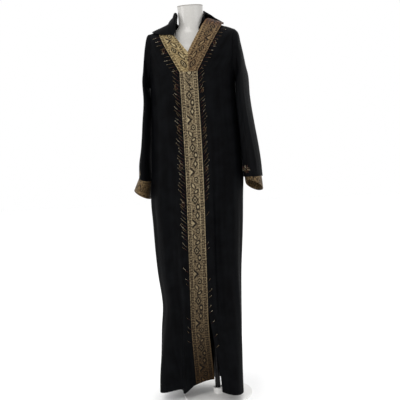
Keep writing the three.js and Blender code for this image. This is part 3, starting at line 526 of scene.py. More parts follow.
    def neck_trim(self, side: int, columns: int) -> Grid:
        """A neck trim, from the yoke height to the shoulder; its cut is across, and along."""
        up = np.linspace(0, 1, 49)[:, None]
        past = np.zeros_like(up)
        if side > 0:
            roll = np.linspace(0, TRIM_ROLL, 5)[1:][:, None]
            up, past = np.concatenate([up, np.ones_like(roll)]), np.concatenate([past, roll])
        across = np.linspace(0, 1, columns + 1)[None, :]
        outer_x, outer_level = self.edge_mark(self.trim_edge[side], up)
        inner_x, inner_level = self.edge_mark(lambda z: self.neckline[side](z) + side * SEAM / 2, up)
        x = outer_x + (inner_x - outer_x) * across
        level = np.minimum(outer_level + (inner_level - outer_level) * across, self.shoulder(x) - SEAM)
        lift = TRIM_LIFT * ease(up, TRIM_LIFT_FROM, 1) - past / 3 if side > 0 else 0 * up
        at = self.marks(self.bearing_at(x, level), level + past, lift=lift + 0 * across)
        spread = np.linalg.norm(np.diff(at, axis=1), axis=-1).sum(axis=1)[:, None]
        middle = at[:, columns // 2]
        along = np.concatenate([[0], np.cumsum(np.linalg.norm(np.diff(middle, axis=0), axis=-1))])
        cut = np.stack([np.broadcast_to(across, x.shape) * spread - NECK_TRIM_HALF,
                        np.broadcast_to(along[:, None], x.shape)], axis=-1)
        return Grid(at, cut) if side < 0 else Grid(at[:, ::-1], cut[:, ::-1])


# ---------------------------------------------------------------------------------------------
# Sleeves, cuffs and hood
# ---------------------------------------------------------------------------------------------


@dataclass(frozen=True)
class Ring:
    """A flattened ring across a sleeve: middle, half sizes and how its outer end and front rise."""

    z: float
    x: float
    half: float
    deep: float
    fore: float
    tilt: float = 0.0
    pitch: float = 0.0
    yaw: float = 0.0     # the front's swing in towards the body


@dataclass(frozen=True)
class Turn:
    """A ring at the sleeve's head that turns about the underarm: far end, depth, place and swing."""

    out: float
    up: float
    deep: float
    fore: float
    yaw: float = 0.0


@dataclass(frozen=True)
class SleeveCrease:
    """A crease down a sleeve: turn round the ring, shift to its head, ends, half width, height."""

    turn: float
    shift: float
    foot: float
    head: float
    wide: float
    out: float


@dataclass(frozen=True)
class SleeveCut:
    """The sizes of one sleeve: its side, turning rings, hanging rings, mouth and creases."""

    side: int
    head: tuple[Turn, ...]
    drop: tuple[Ring, ...]
    mouth: Ring
    creases: tuple[SleeveCrease, ...]


SLEEVE_FOLDS = (
    SleeveCrease(75, 0, 930, 1290, 34, 5.0), SleeveCrease(128, 0, 930, 1230, 30, -4.0),
    SleeveCrease(232, 0, 930, 1250, 34, -4.0), SleeveCrease(290, 0, 930, 1280, 32, 5.0),
)
LEFT_SLEEVE = SleeveCut(
    -1,
    (Turn(-4, 219, 66, 3), Turn(5, 190, 72, 4), Turn(12, 146, 78, 4), Turn(19, 92, 83, 5),
     Turn(26, 42, 86, 6)),
    (Ring(1255, -216, 14.8, 87, 6, 4), Ring(1160, -227.4, 17.4, 89, 8, 3), Ring(1060, -239, 20, 88, 9, 5),
     Ring(1000, -247, 24, 88, 10, 9), Ring(940, -249.5, 26.5, 88, 10, 20)),
    Ring(874, -269, 38, 82, 10, 34, 4),
    (*SLEEVE_FOLDS,
     SleeveCrease(96, -16, 1010, 1420, 9, -2.4), SleeveCrease(110, 12, 960, 1180, 8, 2.2),
     SleeveCrease(150, -14, 1040, 1450, 9, -1.8), SleeveCrease(258, 14, 980, 1400, 9, -2.4),
     SleeveCrease(244, -10, 940, 1150, 8, 2.2), SleeveCrease(206, 12, 1020, 1440, 9, -1.8)),
)
RIGHT_SLEEVE = SleeveCut(
    1,
    (Turn(16, 205, 64, 2), Turn(24, 166, 70, 2), Turn(32, 122, 76, 3), Turn(38, 78, 80, 1, 3),
     Turn(43, 36, 83, 0, 8)),
    (Ring(1250, 174.5, 22.5, 84, 0, 6, 0, 9), Ring(1150, 183, 25.5, 84, -4, 0, 0, 11),
     Ring(1060, 192.5, 29, 83, -6, 0, 0, 12), Ring(990, 197, 32.5, 82, -6, -1, 2, 12),
     Ring(930, 198, 34.5, 81, -6, 0, 5, 12)),
    Ring(892, 201, 37, 80, -6, -18, 20, 12),
    (*SLEEVE_FOLDS,
     SleeveCrease(60, 22, 1000, 1440, 9, -3.0), SleeveCrease(92, 14, 940, 1210, 9, 2.6),
     SleeveCrease(112, -20, 1060, 1420, 9, -2.2), SleeveCrease(148, -12, 960, 1380, 10, 2.0),
     SleeveCrease(262, 16, 980, 1420, 9, -2.6), SleeveCrease(240, -12, 940, 1190, 9, 2.4),
     SleeveCrease(212, 12, 1000, 1440, 10, -1.8)),
)
UNDERARM_SPACE = 4.0
RING_STEPS = 112       # points round a sleeve
SLEEVE_ROWS = 132
CUFF_ROWS = 26


class Sleeves:
    """Sleeve and cuff surfaces, hung from the armholes of a body."""

    def __init__(self, body: Body) -> None:
        """Keeps the body that the armholes are cut in."""
        self.body = body

    def armhole(self, side: int) -> np.ndarray:
        """The armhole's edge: underarm, up the front to the shoulder and down the back."""
        half = RING_STEPS // 2
        step = np.abs((np.arange(RING_STEPS) + half) % RING_STEPS - half) * 9 / half
        front = np.arange(RING_STEPS) <= half
        above = np.clip(step / 2, 0, 1)
        up = np.clip((step - 2) / 7, 0, 1)
        swing = self.body.armhole(UNDERARM + (YOKE - UNDERARM) * above)
        bearing = side * np.where(front, swing, 180 - swing)
        level = UNDERARM + (YOKE - UNDERARM) * above
        for _ in range(8):
            raised = self.body.upper_level(up, self.body.point(bearing, level)[..., 0])
            level = np.where(up > 0, raised, level)
        at = self.body.point(bearing, level)
        beyond = self.body.point(bearing + np.where(front, side, -side) * 0.5, level) - at
        beyond /= np.linalg.norm(beyond, axis=-1, keepdims=True)
        low = np.clip(1 - step / 1.5, 0, 1)[:, None]
        away = beyond * (1 - low) + np.array([side, 0, 2]) * low
        return at + away * 4 * SEAM

    @staticmethod
    def ring(side: int, ring: Ring) -> np.ndarray:
        """Points round a ring, from beside the body and forwards."""
        tilt, pitch = math.radians(ring.tilt), math.radians(ring.pitch)
        swing = np.array(Matrix.Rotation(math.radians(-side * ring.yaw), 3, "Z"))
        outwards = swing @ np.array([side * math.cos(tilt), 0, math.sin(tilt)])
        forwards = swing @ np.array([0, -math.cos(pitch), math.sin(pitch)])
        turn = 2 * np.pi * np.arange(RING_STEPS) / RING_STEPS
        middle = np.array([ring.x, ring.fore, ring.z])
        return (middle - np.cos(turn)[:, None] * ring.half * outwards
                + np.sin(turn)[:, None] * ring.deep * forwards)

    def head_ring(self, side: int, turn: Turn) -> Ring:
        """A turning ring's middle and sizes, from its far end."""
        start = self.body.mid(UNDERARM) + side * (self.body.half(UNDERARM) + UNDERARM_SPACE)
        reach, lean = math.hypot(turn.out, turn.up), math.atan2(turn.up, turn.out)
        middle = (reach + UNDERARM_SPACE) / 2
        return Ring(UNDERARM - UNDERARM_SPACE + middle * math.sin(lean),
                    start + side * middle * math.cos(lean),
                    (reach - UNDERARM_SPACE) / 2, turn.deep, turn.fore, math.degrees(lean), 0.0, turn.yaw)

    def push(self, at: np.ndarray, push: np.ndarray) -> np.ndarray:
        """Moves a tube's points out by so much each, along the tube's own outward direction."""
        around = np.roll(at, -1, axis=1) - np.roll(at, 1, axis=1)
        along = np.gradient(at, axis=0)
        out = np.cross(around, along)
        out /= np.linalg.norm(out, axis=-1, keepdims=True)
        middle = at.mean(axis=1, keepdims=True)
        facing = np.sign(np.sum(out * (at - middle), axis=-1).mean())
        return at + out * push[..., None] * facing

    @staticmethod
    def closed(at: np.ndarray) -> np.ndarray:
        """The grid of a tube with its first column repeated at its end."""
        return np.concatenate([at, at[:, :1]], axis=1)

    def sleeve(self, cut: SleeveCut) -> Grid:
        """A whole sleeve, from the armhole to the cuff seam."""
        rings = [self.head_ring(cut.side, turn) for turn in cut.head] + list(cut.drop)
        stations = np.array([self.armhole(cut.side)] + [self.ring(cut.side, ring) for ring in rings])
        at = through(stations, even_shares(stations, SLEEVE_ROWS))
        turn = np.broadcast_to(360 * np.arange(RING_STEPS) / RING_STEPS, at.shape[:2])
        push = np.zeros(at.shape[:2])
        for c in cut.creases:
            t = (at[..., 2] - c.foot) / (c.head - c.foot)
            away = turned(turn - c.turn - c.shift * t) / c.wide
            ends = 1 - ease(t, 0.35, 1) if c.foot < 1000 else ease(t, 0, 0.3) * (1 - ease(t, 0.6, 1))
            push = push + c.out * hump(away) * ends
        seam = ease(np.arange(len(at))[:, None], 0, 12) * np.ones_like(push)
        cuff = ease(np.arange(len(at))[::-1][:, None], 0, 14)
        at = self.closed(self.push(at, push * seam * cuff))
        return Grid(at, cut_of(at), tube=True)

    def cuff(self, cut: SleeveCut) -> Grid:
        """A cuff, from just below the sleeve's end to its open mouth; its cut is across, and round."""
        top, mouth = cut.drop[-1], cut.mouth
        names = ("z", "x", "half", "deep", "fore", "tilt", "pitch")
        rows = []
        for share in np.linspace(0, 1, CUFF_ROWS + 1):
            sizes = {n: getattr(top, n) + (getattr(mouth, n) - getattr(top, n)) * share for n in names}
            near = max(0.0, 1 - share * CUFF_ROWS)
            sizes["z"] -= SEAM * near * math.cos(math.radians(top.tilt))
            sizes["x"] += cut.side * SEAM * near * math.sin(math.radians(top.tilt))
            rows.append(self.ring(cut.side, Ring(**sizes)))
        at = self.closed(np.array(rows))
        flat = cut_of(at)
        tall = flat[-1:, :, 1]
        return Grid(at, np.stack([flat[..., 1] - tall / 2, flat[..., 0]], axis=-1), tube=True)


@dataclass(frozen=True)
class HoodSection:
    """Six points of the hood's section at a bearing from the rear, each out from the neck and up."""

    at: float
    seam: tuple[float, float]
    lie: tuple[float, float]
    low: tuple[float, float]
    mid: tuple[float, float]
    top: tuple[float, float]
    edge: tuple[float, float]


HOOD_SECTIONS = (
    HoodSection(-147, (97, 1505), (96, 1511), (96, 1517), (99, 1521), (104, 1517), (110, 1507)),
    HoodSection(-136, (84, 1536), (81, 1547), (79, 1558), (83, 1566), (96, 1545), (109, 1515)),
    HoodSection(-122, (72, 1553), (68, 1566), (66, 1580), (69, 1591), (86, 1566), (128, 1517)),
    HoodSection(-97, (65, 1561), (61, 1576), (60, 1591), (65, 1604), (84, 1569), (160, 1534)),
    HoodSection(-70, (66, 1561), (62, 1576), (62, 1590), (70, 1599), (92, 1573), (144, 1545)),
    HoodSection(-50, (66, 1558), (92, 1546), (134, 1532), (150, 1536), (148, 1549), (130, 1559)),
    HoodSection(-35, (66, 1549), (112, 1508), (134, 1410), (150, 1362), (172, 1440), (128, 1558)),
    HoodSection(0, (66, 1535), (97, 1504), (113, 1345), (140, 1294), (174, 1390), (126, 1556)),
    HoodSection(33, (66, 1549), (112, 1508), (134, 1416), (149, 1370), (170, 1446), (127, 1558)),
    HoodSection(48, (66, 1558), (92, 1546), (134, 1532), (150, 1536), (147, 1548), (127, 1558)),
    HoodSection(67, (64, 1560), (60, 1576), (58, 1592), (61, 1605), (77, 1570), (133, 1560)),
    HoodSection(89, (61, 1558), (58, 1571), (57, 1582), (57, 1591), (59, 1596), (62, 1592)),
    HoodSection(120, (64, 1550), (61, 1561), (60, 1570), (60, 1577), (61, 1581), (64, 1579)),
    HoodSection(150, (75, 1520), (73, 1526), (72, 1531), (72, 1535), (73, 1538), (76, 1535)),
)


@dataclass(frozen=True)
class HoodCrease:
    """A crease of the dropped hood: bearing, lean, shares from seam to edge, half width, height."""

    at: float
    lean: float
    start: float
    end: float
    wide: float
    out: float


HOOD_CREASES = (
    HoodCrease(-24, 10, 0.28, 0.98, 6, -4.0), HoodCrease(-12, 4, 0.2, 0.9, 7, 3.0),
    HoodCrease(2, -6, 0.3, 1.0, 6, -3.6), HoodCrease(14, 3, 0.25, 0.85, 7, 2.6),
    HoodCrease(23, -9, 0.3, 0.98, 6, -4.0), HoodCrease(-31, 4, 0.45, 1.0, 4, 2.4),
    HoodCrease(30, -3, 0.45, 1.0, 4, 2.4), HoodCrease(-8, 12, 0.55, 1.0, 4, -2.2),
)
HOOD_COLUMNS = 150
HOOD_ROWS = 72
HOOD_MIDDLE_Y = 2.0


def hood_grid() -> Grid:
    """The hood dropped on the back, from the neckline seam to its free edge."""
    bearing = np.linspace(HOOD_SECTIONS[0].at, HOOD_SECTIONS[-1].at, HOOD_COLUMNS + 1)
    stations = []
    for name in ("seam", "lie", "low", "mid", "top", "edge"):
        reach = Curve([(s.at, getattr(s, name)[0]) for s in HOOD_SECTIONS])(bearing)
        up = Curve([(s.at, getattr(s, name)[1]) for s in HOOD_SECTIONS])(bearing)
        stations.append(np.stack([reach, 0 * reach, up], axis=-1))
    shares = np.linspace(0, 1, HOOD_ROWS + 1)
    flat = through(np.array(stations), shares)
    angle = np.radians(bearing)
    at = np.stack([NECK_MIDDLE + flat[..., 0] * np.sin(angle),
                   HOOD_MIDDLE_Y + flat[..., 0] * np.cos(angle), flat[..., 2]], axis=-1)
    out = np.cross(np.gradient(at, axis=1), np.gradient(at, axis=0))
    out /= np.maximum(np.linalg.norm(out, axis=-1, keepdims=True), 1e-9)
    push = np.zeros(at.shape[:2])
    for c in HOOD_CREASES:
        t = (shares[:, None] - c.start) / (c.end - c.start)
        push = push + c.out * hump((bearing - c.at - c.lean * t) / c.wide) * hump(2 * t - 1)
    at = at - out * push[..., None]
    return Grid(at, cut_of(at, HOOD_COLUMNS // 2))


# ---------------------------------------------------------------------------------------------
# Making meshes
# ---------------------------------------------------------------------------------------------


class Slot(Enum):
    """Material slot names."""

    PLATE = "stand_plate"
    TUBE = "stand_tube"
    FORM = "form_shell"
    CREPE = "black_crepe"
    TRIM = "gold_trim"


def finish_piece(piece: bpy.types.Object, nodes: Sequence[str]) -> bpy.types.Object:
    """Rides a piece on the part and lets it stand for its nodes."""
    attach(piece, "root")
    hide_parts(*nodes)
    log.info("%s made, %d faces", piece.name, len(piece.data.polygons) if piece.type == "MESH" else 0)
    return piece


def to_object(work: bmesh.types.BMesh, name: str, material: bpy.types.Material) -> bpy.types.Object:
    """Turns worked mesh data into a named piece with its finish."""
    mesh = bpy.data.meshes.new(name)
    work.to_mesh(mesh)
    work.free()
    mesh.materials.append(material)
    piece = bpy.data.objects.new(name, mesh)
    bpy.context.scene.collection.objects.link(piece)
    return piece


class Cloth:
    """A thin shell of cloth laid on a grid of points."""

    def __init__(self, name: str, grid: Grid, thick: float) -> None:
        """Keeps the sheet's name, points and thickness in millimetres."""
        self.name, self.grid, self.thick = name, grid, thick

    def build(self, material: bpy.types.Material) -> bpy.types.Object:
        """Lays a flat grid on the points and gives it its thickness.

        Args:
            material: the cloth's finish.

        Returns:
            The new piece, its faces outward.
        """
        rows, columns = self.grid.at.shape[:2]
        work = bmesh.new()
        bmesh.ops.create_grid(work, x_segments=columns - 1, y_segments=rows - 1, size=0.5)
        flat = work.loops.layers.uv.new("cut")
        place = {}
        for vert in work.verts:
            c = round((vert.co.x + 0.5) * (columns - 1))
            r = round((vert.co.y + 0.5) * (rows - 1))
            place[vert] = (r, c)
            vert.co = Vector(self.grid.at[r, c]) * MM
        for face in work.faces:
            face.smooth = True
            for loop in face.loops:
                loop[flat].uv = Vector(self.grid.cut[place[loop.vert]]) * MM
        if self.grid.tube:
            bmesh.ops.remove_doubles(work, verts=work.verts, dist=1e-5)
            middle = Vector(self.grid.at.reshape(-1, 3).mean(axis=0)) * MM
            self.face_out(work, lambda face: face.calc_center_median() - middle)
        for edge in work.edges:
            edge.smooth = not edge.is_boundary
        piece = to_object(work, self.name, material)
        shell = piece.modifiers.new("thickness", "SOLIDIFY")
        shell.thickness = self.thick * MM
        shell.offset = -1
        shell.use_even_offset = True
        shell.thickness_clamp = 1.2
        return piece

    @staticmethod
    def face_out(work: bmesh.types.BMesh, away: Callable) -> None:
        """Turns every face round where most of them look inwards."""
        side = sum(face.normal.dot(away(face)) for face in work.faces)
        if side < 0:
            bmesh.ops.reverse_faces(work, faces=work.faces)


# ---------------------------------------------------------------------------------------------
# Finishes
# ---------------------------------------------------------------------------------------------


class Wire:
    """A value on its way through a finish, which adds and multiplies as a number does."""

    def __init__(self, net: "Net", socket: bpy.types.NodeSocket) -> None:
        """Keeps the finish's net and the socket that gives the value."""
        self.net, self.socket = net, socket

    def __add__(self, other: "Value") -> "Wire":
        return self.net.math("ADD", self, other)

    __radd__ = __add__

    def __sub__(self, other: "Value") -> "Wire":
        return self.net.math("SUBTRACT", self, other)

    def __rsub__(self, other: "Value") -> "Wire":
        return self.net.math("SUBTRACT", other, self)

    def __mul__(self, other: "Value") -> "Wire":
        return self.net.math("MULTIPLY", self, other)

    __rmul__ = __mul__

    def __truediv__(self, other: "Value") -> "Wire":
        return self.net.math("DIVIDE", self, other)

    def __mod__(self, other: "Value") -> "Wire":
        return self.net.math("FLOORED_MODULO", self, other)

    def __abs__(self) -> "Wire":
        return self.net.math("ABSOLUTE", self)

    def __neg__(self) -> "Wire":
        return self * -1.0


Value = Union[Wire, float]


class Net:
    """A finish's network of shader nodes."""

    def __init__(self, name: str) -> None:
        """Starts an empty finish."""
        self.material = bpy.data.materials.new(name)
        self.material.use_nodes = True
        self.tree = self.material.node_tree
        self.tree.nodes.clear()

    def node(self, kind: str, settings: Optional[dict] = None,
             inputs: Optional[dict] = None) -> bpy.types.Node:
        """One node, its settings set first and its inputs after.

        Args:
            kind: the node's type.
            settings: properties of the node.
            inputs: numbers, colours or wires by socket name or index.

        Returns:
            The new node.
        """
        made = self.tree.nodes.new(kind)
        for name, value in (settings or {}).items():
            setattr(made, name, value)
        for key, value in (inputs or {}).items():
            if isinstance(value, Wire):
                self.tree.links.new(value.socket, made.inputs[key])
            elif isinstance(value, tuple) and len(value) == 3 and made.inputs[key].type == "RGBA":
                made.inputs[key].default_value = (*value, 1.0)
            else:
                made.inputs[key].default_value = value
        return made

    def math(self, operation: str, *values: Value) -> Wire:
        """One sum on numbers."""
        made = self.node("ShaderNodeMath", {"operation": operation}, dict(enumerate(values)))
        return Wire(self, made.outputs[0])

    def wave(self, value: Wire, pitch: float) -> Wire:
        """A sine, one whole turn for each pitch of the value."""
        return self.math("SINE", value * (2 * math.pi / pitch))

    def step(self, value: Wire, low: float, high: float) -> Wire:
        """0 before low, 1 past high and a soft ramp between, either way up."""
        if low > high:
            return 1.0 - self.step(value, high, low)
        made = self.node("ShaderNodeMapRange", {"interpolation_type": "SMOOTHSTEP"},
                         {"Value": value, "From Min": low, "From Max": high})
        return Wire(self, made.outputs[0])

    def between(self, value: Wire, low: float, high: float, soft: float) -> Wire:
        """1 between two values and 0 outside, with soft edges."""
        return self.step(value, low - soft, low + soft) * (1.0 - self.step(value, high - soft, high + soft))

    def mix(self, share: Value, first: Union[Wire, Colour], second: Union[Wire, Colour],
            blend: str = "MIX") -> Wire:
        """Two colours mixed."""
        made = self.node("ShaderNodeMix", {"data_type": "RGBA", "blend_type": blend},
                         {0: share, 6: first, 7: second})
        return Wire(self, made.outputs[2])

    def vector(self, x: Value, y: Value, z: Value = 0.0) -> Wire:
        """Three values as a vector."""
        return Wire(self, self.node("ShaderNodeCombineXYZ", None, {0: x, 1: y, 2: z}).outputs[0])

    def cut(self) -> tuple[Wire, Wire]:
        """The two coordinates of the piece's flat cut, in millimetres."""
        uv = self.node("ShaderNodeUVMap", {"uv_map": "cut"})
        parts = self.node("ShaderNodeSeparateXYZ", None, {0: Wire(self, uv.outputs[0])})
        return Wire(self, parts.outputs[0]) * 1000.0, Wire(self, parts.outputs[1]) * 1000.0

    def place(self) -> tuple[Wire, Wire, Wire]:
        """The point's own place, in millimetres."""
        here = self.node("ShaderNodeTexCoord")
        parts = self.node("ShaderNodeSeparateXYZ", None, {0: Wire(self, here.outputs["Object"])})
        return tuple(Wire(self, output) * 1000.0 for output in parts.outputs)

    def noise(self, where: Wire, size: float, detail: float = 2.0, rough: float = 0.5) -> Wire:
        """Soft noise whose blobs are about a size across, from 0 to 1."""
        made = self.node("ShaderNodeTexNoise", {"noise_dimensions": "3D"},
                         {"Vector": where, "Scale": 1.0 / size, "Detail": detail, "Roughness": rough})
        return Wire(self, made.outputs[0])

    def bump(self, height: Wire, distance: float, strength: float = 1.0) -> Wire:
        """A normal from a height."""
        made = self.node("ShaderNodeBump", None,
                         {"Height": height, "Strength": strength, "Distance": distance})
        return Wire(self, made.outputs[0])

    def surface(self, inputs: dict) -> bpy.types.Material:
        """Ends the net in one main shader and gives the finished material."""
        shader = self.node("ShaderNodeBsdfPrincipled", None, inputs)
        end = self.node("ShaderNodeOutputMaterial")
        self.tree.links.new(shader.outputs[0], end.inputs[0])
        return self.material


def paint(red: int, green: int, blue: int) -> Colour:
    """A colour as the eye names it, out of 255, turned into light."""
    return tuple(((c / 255 + 0.055) / 1.055) ** 2.4 if c > 10 else c / 255 / 12.92
                 for c in (red, green, blue))


@dataclass(frozen=True)
class CrepeFinish:
    """Fine black crepe: a crinkled matt weave with a faint cool sheen and a stitched hem line."""

    name: str
    deep: Colour = paint(4, 4, 5)
    worn: Colour = paint(11, 12, 14)
    hem_line: float = 24.0   # height of the hem's stitching above its edge, 0 for none

    def make(self) -> bpy.types.Material:
        """Builds the finish."""
        net = Net(self.name)
        across, along = net.cut()
        flat = net.vector(across, along)
        crinkle = net.noise(net.vector(across, along * 0.45), 1.1, 3, 0.6)
        thread = net.wave(across, 0.9) * net.wave(along, 0.8)
        cloudy = net.noise(flat, 60, 3, 0.6)
        streak = net.noise(net.vector(across, along * 0.06), 16, 2, 0.5)
        tone = cloudy * 0.5 + streak * 0.3 + crinkle * 0.2
        colour = net.mix(net.step(tone, 0.36, 0.66), self.deep, self.worn)
        height = crinkle * 0.7 + thread * 0.16
        rough = 0.56 + cloudy * 0.14 - crinkle * 0.05
        if self.hem_line:
            line = net.between(along, self.hem_line - 0.7, self.hem_line + 0.7, 0.5)
            dash = net.step(net.wave(across, 3.2), -0.2, 0.3)
            height = height - line * 1.6 + line * dash * 1.2
        return net.surface({
            "Base Color": colour, "Roughness": rough, "IOR": 1.1, "Specular IOR Level": 0.5,
            "Sheen Weight": 0.008, "Sheen Roughness": 0.4, "Sheen Tint": (*paint(150, 160, 180), 1.0),
            "Normal": net.bump(height, 0.00035, 0.8),
        })


class Form(Enum):
    """The shapes woven into the trim."""

    DIAMOND = "diamond"
    OVAL = "oval"
    WEDGE = "wedge"
    VEE = "vee"
    LEAF = "leaf"
    DROP = "drop"
    HEART = "heart"


@dataclass(frozen=True)
class Motif:
    """A woven shape: place across and down, half sizes, lean, dot, outline and if it comes once."""

    form: Form
    across: float
    down: float
    wide: float
    high: float
    lean: float = 0.0
    dot: float = 0.0
    rim: float = 4.0
    once: bool = False

    def distance(self, net: Net, across: Wire, down: Wire) -> Wire:
        """0 in the shape's middle and 1 on its edge."""
        y = down - self.down
        x = (across - self.across - y * self.lean) / self.wide
        y = y / self.high
        if self.form is Form.DIAMOND:
            return abs(x) + abs(y)
        if self.form is Form.OVAL:
            return net.math("SQRT", x * x + y * y)
        if self.form is Form.LEAF:
            return abs(x) + y * y
        if self.form is Form.DROP:
            return net.math("MAXIMUM", abs(x) / (y * 0.4 + 0.6), abs(y))
        if self.form is Form.HEART:
            lobe = y * 1.1 + net.math("SQRT", abs(x)) * 0.55 - 0.12
            return net.math("SQRT", x * x + lobe * lobe)
        tip = (x + 1.0) * 0.5
        if self.form is Form.WEDGE:
            return net.math("MAXIMUM", tip + abs(y), (-x - 0.95) * 20.0)
        return net.math("MAXIMUM", abs(abs(x) - (1.0 - y) * 0.5) * 2.2 + 0.5, abs(y))


TRIM_REPEAT = 208.0
NECK_REPEAT = 108.0
NECK_START = 92.0      # place of the neck trims' first shape, along them
NECK_BORDER = 15.0
NECK_LEAD = 14.5       # how much of their repeat lies before it
UPRIGHT_MOTIFS = (
    Motif(Form.DIAMOND, -2, 0, 13, 20, dot=0.36, rim=5.0), Motif(Form.OVAL, 9, 29, 8.5, 13.5, rim=4.2),
    Motif(Form.OVAL, -9.5, 44, 4.2, 5.4, dot=1.0), Motif(Form.DIAMOND, 6, 64, 9.5, 19, rim=4.6),
    Motif(Form.WEDGE, -6, 96, 10.5, 20.5, rim=4.4), Motif(Form.OVAL, 6, 127, 8.5, 11.5, dot=0.36, rim=3.0),
    Motif(Form.LEAF, -6.5, 152, 9, 14.5, lean=0.4, rim=4.2),
    Motif(Form.OVAL, 4, 175, 9, 10.5, lean=-0.5, rim=4.2),
    Motif(Form.DROP, 5, -31, 8, 10, lean=0.5, rim=4.2, once=True),
    Motif(Form.DROP, -5, -49, 4.2, 14, lean=0.75, dot=1.0, once=True),
    Motif(Form.VEE, 1, -67, 11, 9, rim=4.0, once=True),
    Motif(Form.HEART, 3, -86, 12, 10.5, rim=4.4, once=True),
)
NECK_MOTIFS = (
    Motif(Form.LEAF, 1, -60, 10, 17, dot=0.28, rim=4.6, once=True),
    Motif(Form.LEAF, 12, -27, 9, 17.5, lean=-0.2, rim=4.4, once=True),
    Motif(Form.DIAMOND, -4, 0, 11, 16, dot=0.36, rim=4.4),
    Motif(Form.LEAF, 6, 25, 9, 15, lean=-0.4, rim=4.2),
    Motif(Form.WEDGE, -5, 48, 10.5, 15.5, rim=4.4), Motif(Form.OVAL, 5, 70, 8.5, 11.5, dot=0.34, rim=3.2),
    Motif(Form.OVAL, -5, 87, 4.4, 5.6, dot=1.0),
)
CUFF_MOTIFS = (
    Motif(Form.DIAMOND, -2, 0, 11, 9, dot=0.3), Motif(Form.OVAL, 7, 17, 7, 6),
    Motif(Form.OVAL, -8, 24, 4, 3.6, dot=1.0), Motif(Form.WEDGE, -2, 40, 9, 11),
    Motif(Form.OVAL, 6, 58, 7, 5.5, lean=0.3),
)


@dataclass(frozen=True)
class TrimFinish:
    """Woven metal-thread trim: ladder borders, light lines and a field of outlined shapes."""

    name: str
    half: float                      # half its width
    motifs: tuple[Motif, ...]
    repeat: float
    start: float                     # place of the first shape, along the cut
    field: Colour
    pale: Colour
    # On the upright trim the end colour below darkens it towards the hem, partly as painted shade.
    dusk: Colour                     # the colour it turns to at its dim end
    dusk_from: float = 0.0
    dusk_to: float = 0.0             # along the cut; equal to dusk_from for none
    border: float = 18.5             # width of a border
    lead: float = 21.0               # how much of a repeat lies before its first shape's middle
    upward: bool = False             # the shapes run up the cut and not down it
    dark: Colour = paint(24, 17, 11)

    def shapes(self, net: Net, across: Wire, run: Wire) -> tuple[Wire, Wire]:
        """The woven shapes: where the dark outlines and the light insides are.

        Args:
            net: the finish's net.
            across: place across the trim.
            run: place along it, from its first shape.

        Returns:
            The dark share and the light share.
        """
        down = (run + self.lead) % self.repeat - self.lead
        started = net.step(run, -self.lead - 0.6, -self.lead) if any(m.once for m in self.motifs) else 1.0
        dark, light = net.math("ADD", 0.0, 0.0), net.math("ADD", 0.0, 0.0)
        for motif in self.motifs:
            far = motif.distance(net, across, run if motif.once else down)
            rim = motif.rim / motif.wide
            inside = 1.0 - net.step(far, 0.94 - rim, 1.02 - rim)
            mark = (1.0 - net.step(far, 0.98, 1.12)) * (1.0 - inside)
            if motif.dot:
                spot = 1.0 - net.step(far, motif.dot - 0.08, motif.dot + 0.08)
                mark = net.math("MAXIMUM", mark, spot)
                inside = inside * (1.0 - spot)
            shown = 1.0 if motif.once else started
            dark = net.math("MAXIMUM", dark, mark * shown)
            light = net.math("MAXIMUM", light, inside * shown)
        return dark, light

    def make(self) -> bpy.types.Material:
        """Builds the finish."""
        net = Net(self.name)
        across, along = net.cut()
        flat = net.vector(across, along)
        ragged = (net.noise(flat, 2.4, 2, 0.6) - 0.5) * 1.1
        run = along - self.start if self.upward else self.start - along
        dark, light = self.shapes(net, across + ragged, run + ragged)
        edge = self.half - abs(across)
        field = net.step(edge, self.border - 1.0, self.border + 0.6)
        dark, light = dark * field, light * field
        lines = net.math("MAXIMUM", 1.0 - net.step(edge, 1.6, 3.0),
                         net.between(edge, self.border - 3.4, self.border - 0.2, 0.6))
        ladder = net.between(edge, self.border * 0.2, self.border * 0.78, 0.5)
        split = 1.0 - net.between(edge, self.border * 0.45, self.border * 0.55, 0.4)
        rung = net.step(net.wave(along, 11.0), -0.2, 0.3)
        dash = ladder * rung * split
        weft = net.wave(along, 1.1)
        warp = net.wave(across, 0.9)
        grain = net.noise(net.vector(across * 0.6, along * 1.6), 2.6, 3, 0.7)
        fleck = net.step(net.noise(net.vector(across * 0.7, along), 5, 2, 0.7), 0.3, 0.7)
        worn = net.noise(flat, 34, 3, 0.6)
        colour = net.mix(net.step(grain * 0.6 + fleck * 0.4, 0.4, 0.64) * 0.6, self.field, self.pale)
        colour = net.mix(lines * (0.15 + fleck * 0.75) + light * 0.9, colour, self.pale)
        colour = net.mix(dash * 0.9, colour, self.dark)
        colour = net.mix(dark * 0.95, colour, self.dark)
        shade = 0.5 + worn * 0.3 + fleck * 0.4 + weft * warp * 0.08
        colour = net.mix(1.0, colour, shade, "MULTIPLY")
        # Towards one end the colour is multiplied by the end colour; on the upright trim this darkening
        # towards the hem is partly painted shade of the light falling off downwards.
        if self.dusk_to != self.dusk_from:
            share = (self.dusk_from - along) / (self.dusk_from - self.dusk_to)
            share = net.math("MINIMUM", net.math("MAXIMUM", share, 0.0), 1.0)
            colour = net.mix(share, colour, net.mix(1.0, colour, self.dusk, "MULTIPLY"))
        height = lines + light * 0.5 - dark * 0.5 - dash * 0.5 + weft * warp * 0.18 + grain * 0.6
        return net.surface({
            "Base Color": colour, "Roughness": 0.46 + worn * 0.16 + dark * 0.15,
            "Metallic": 0.3 - dark * 0.25, "Specular IOR Level": 0.12,
            "Normal": net.bump(height, 0.0006, 0.9),
        })


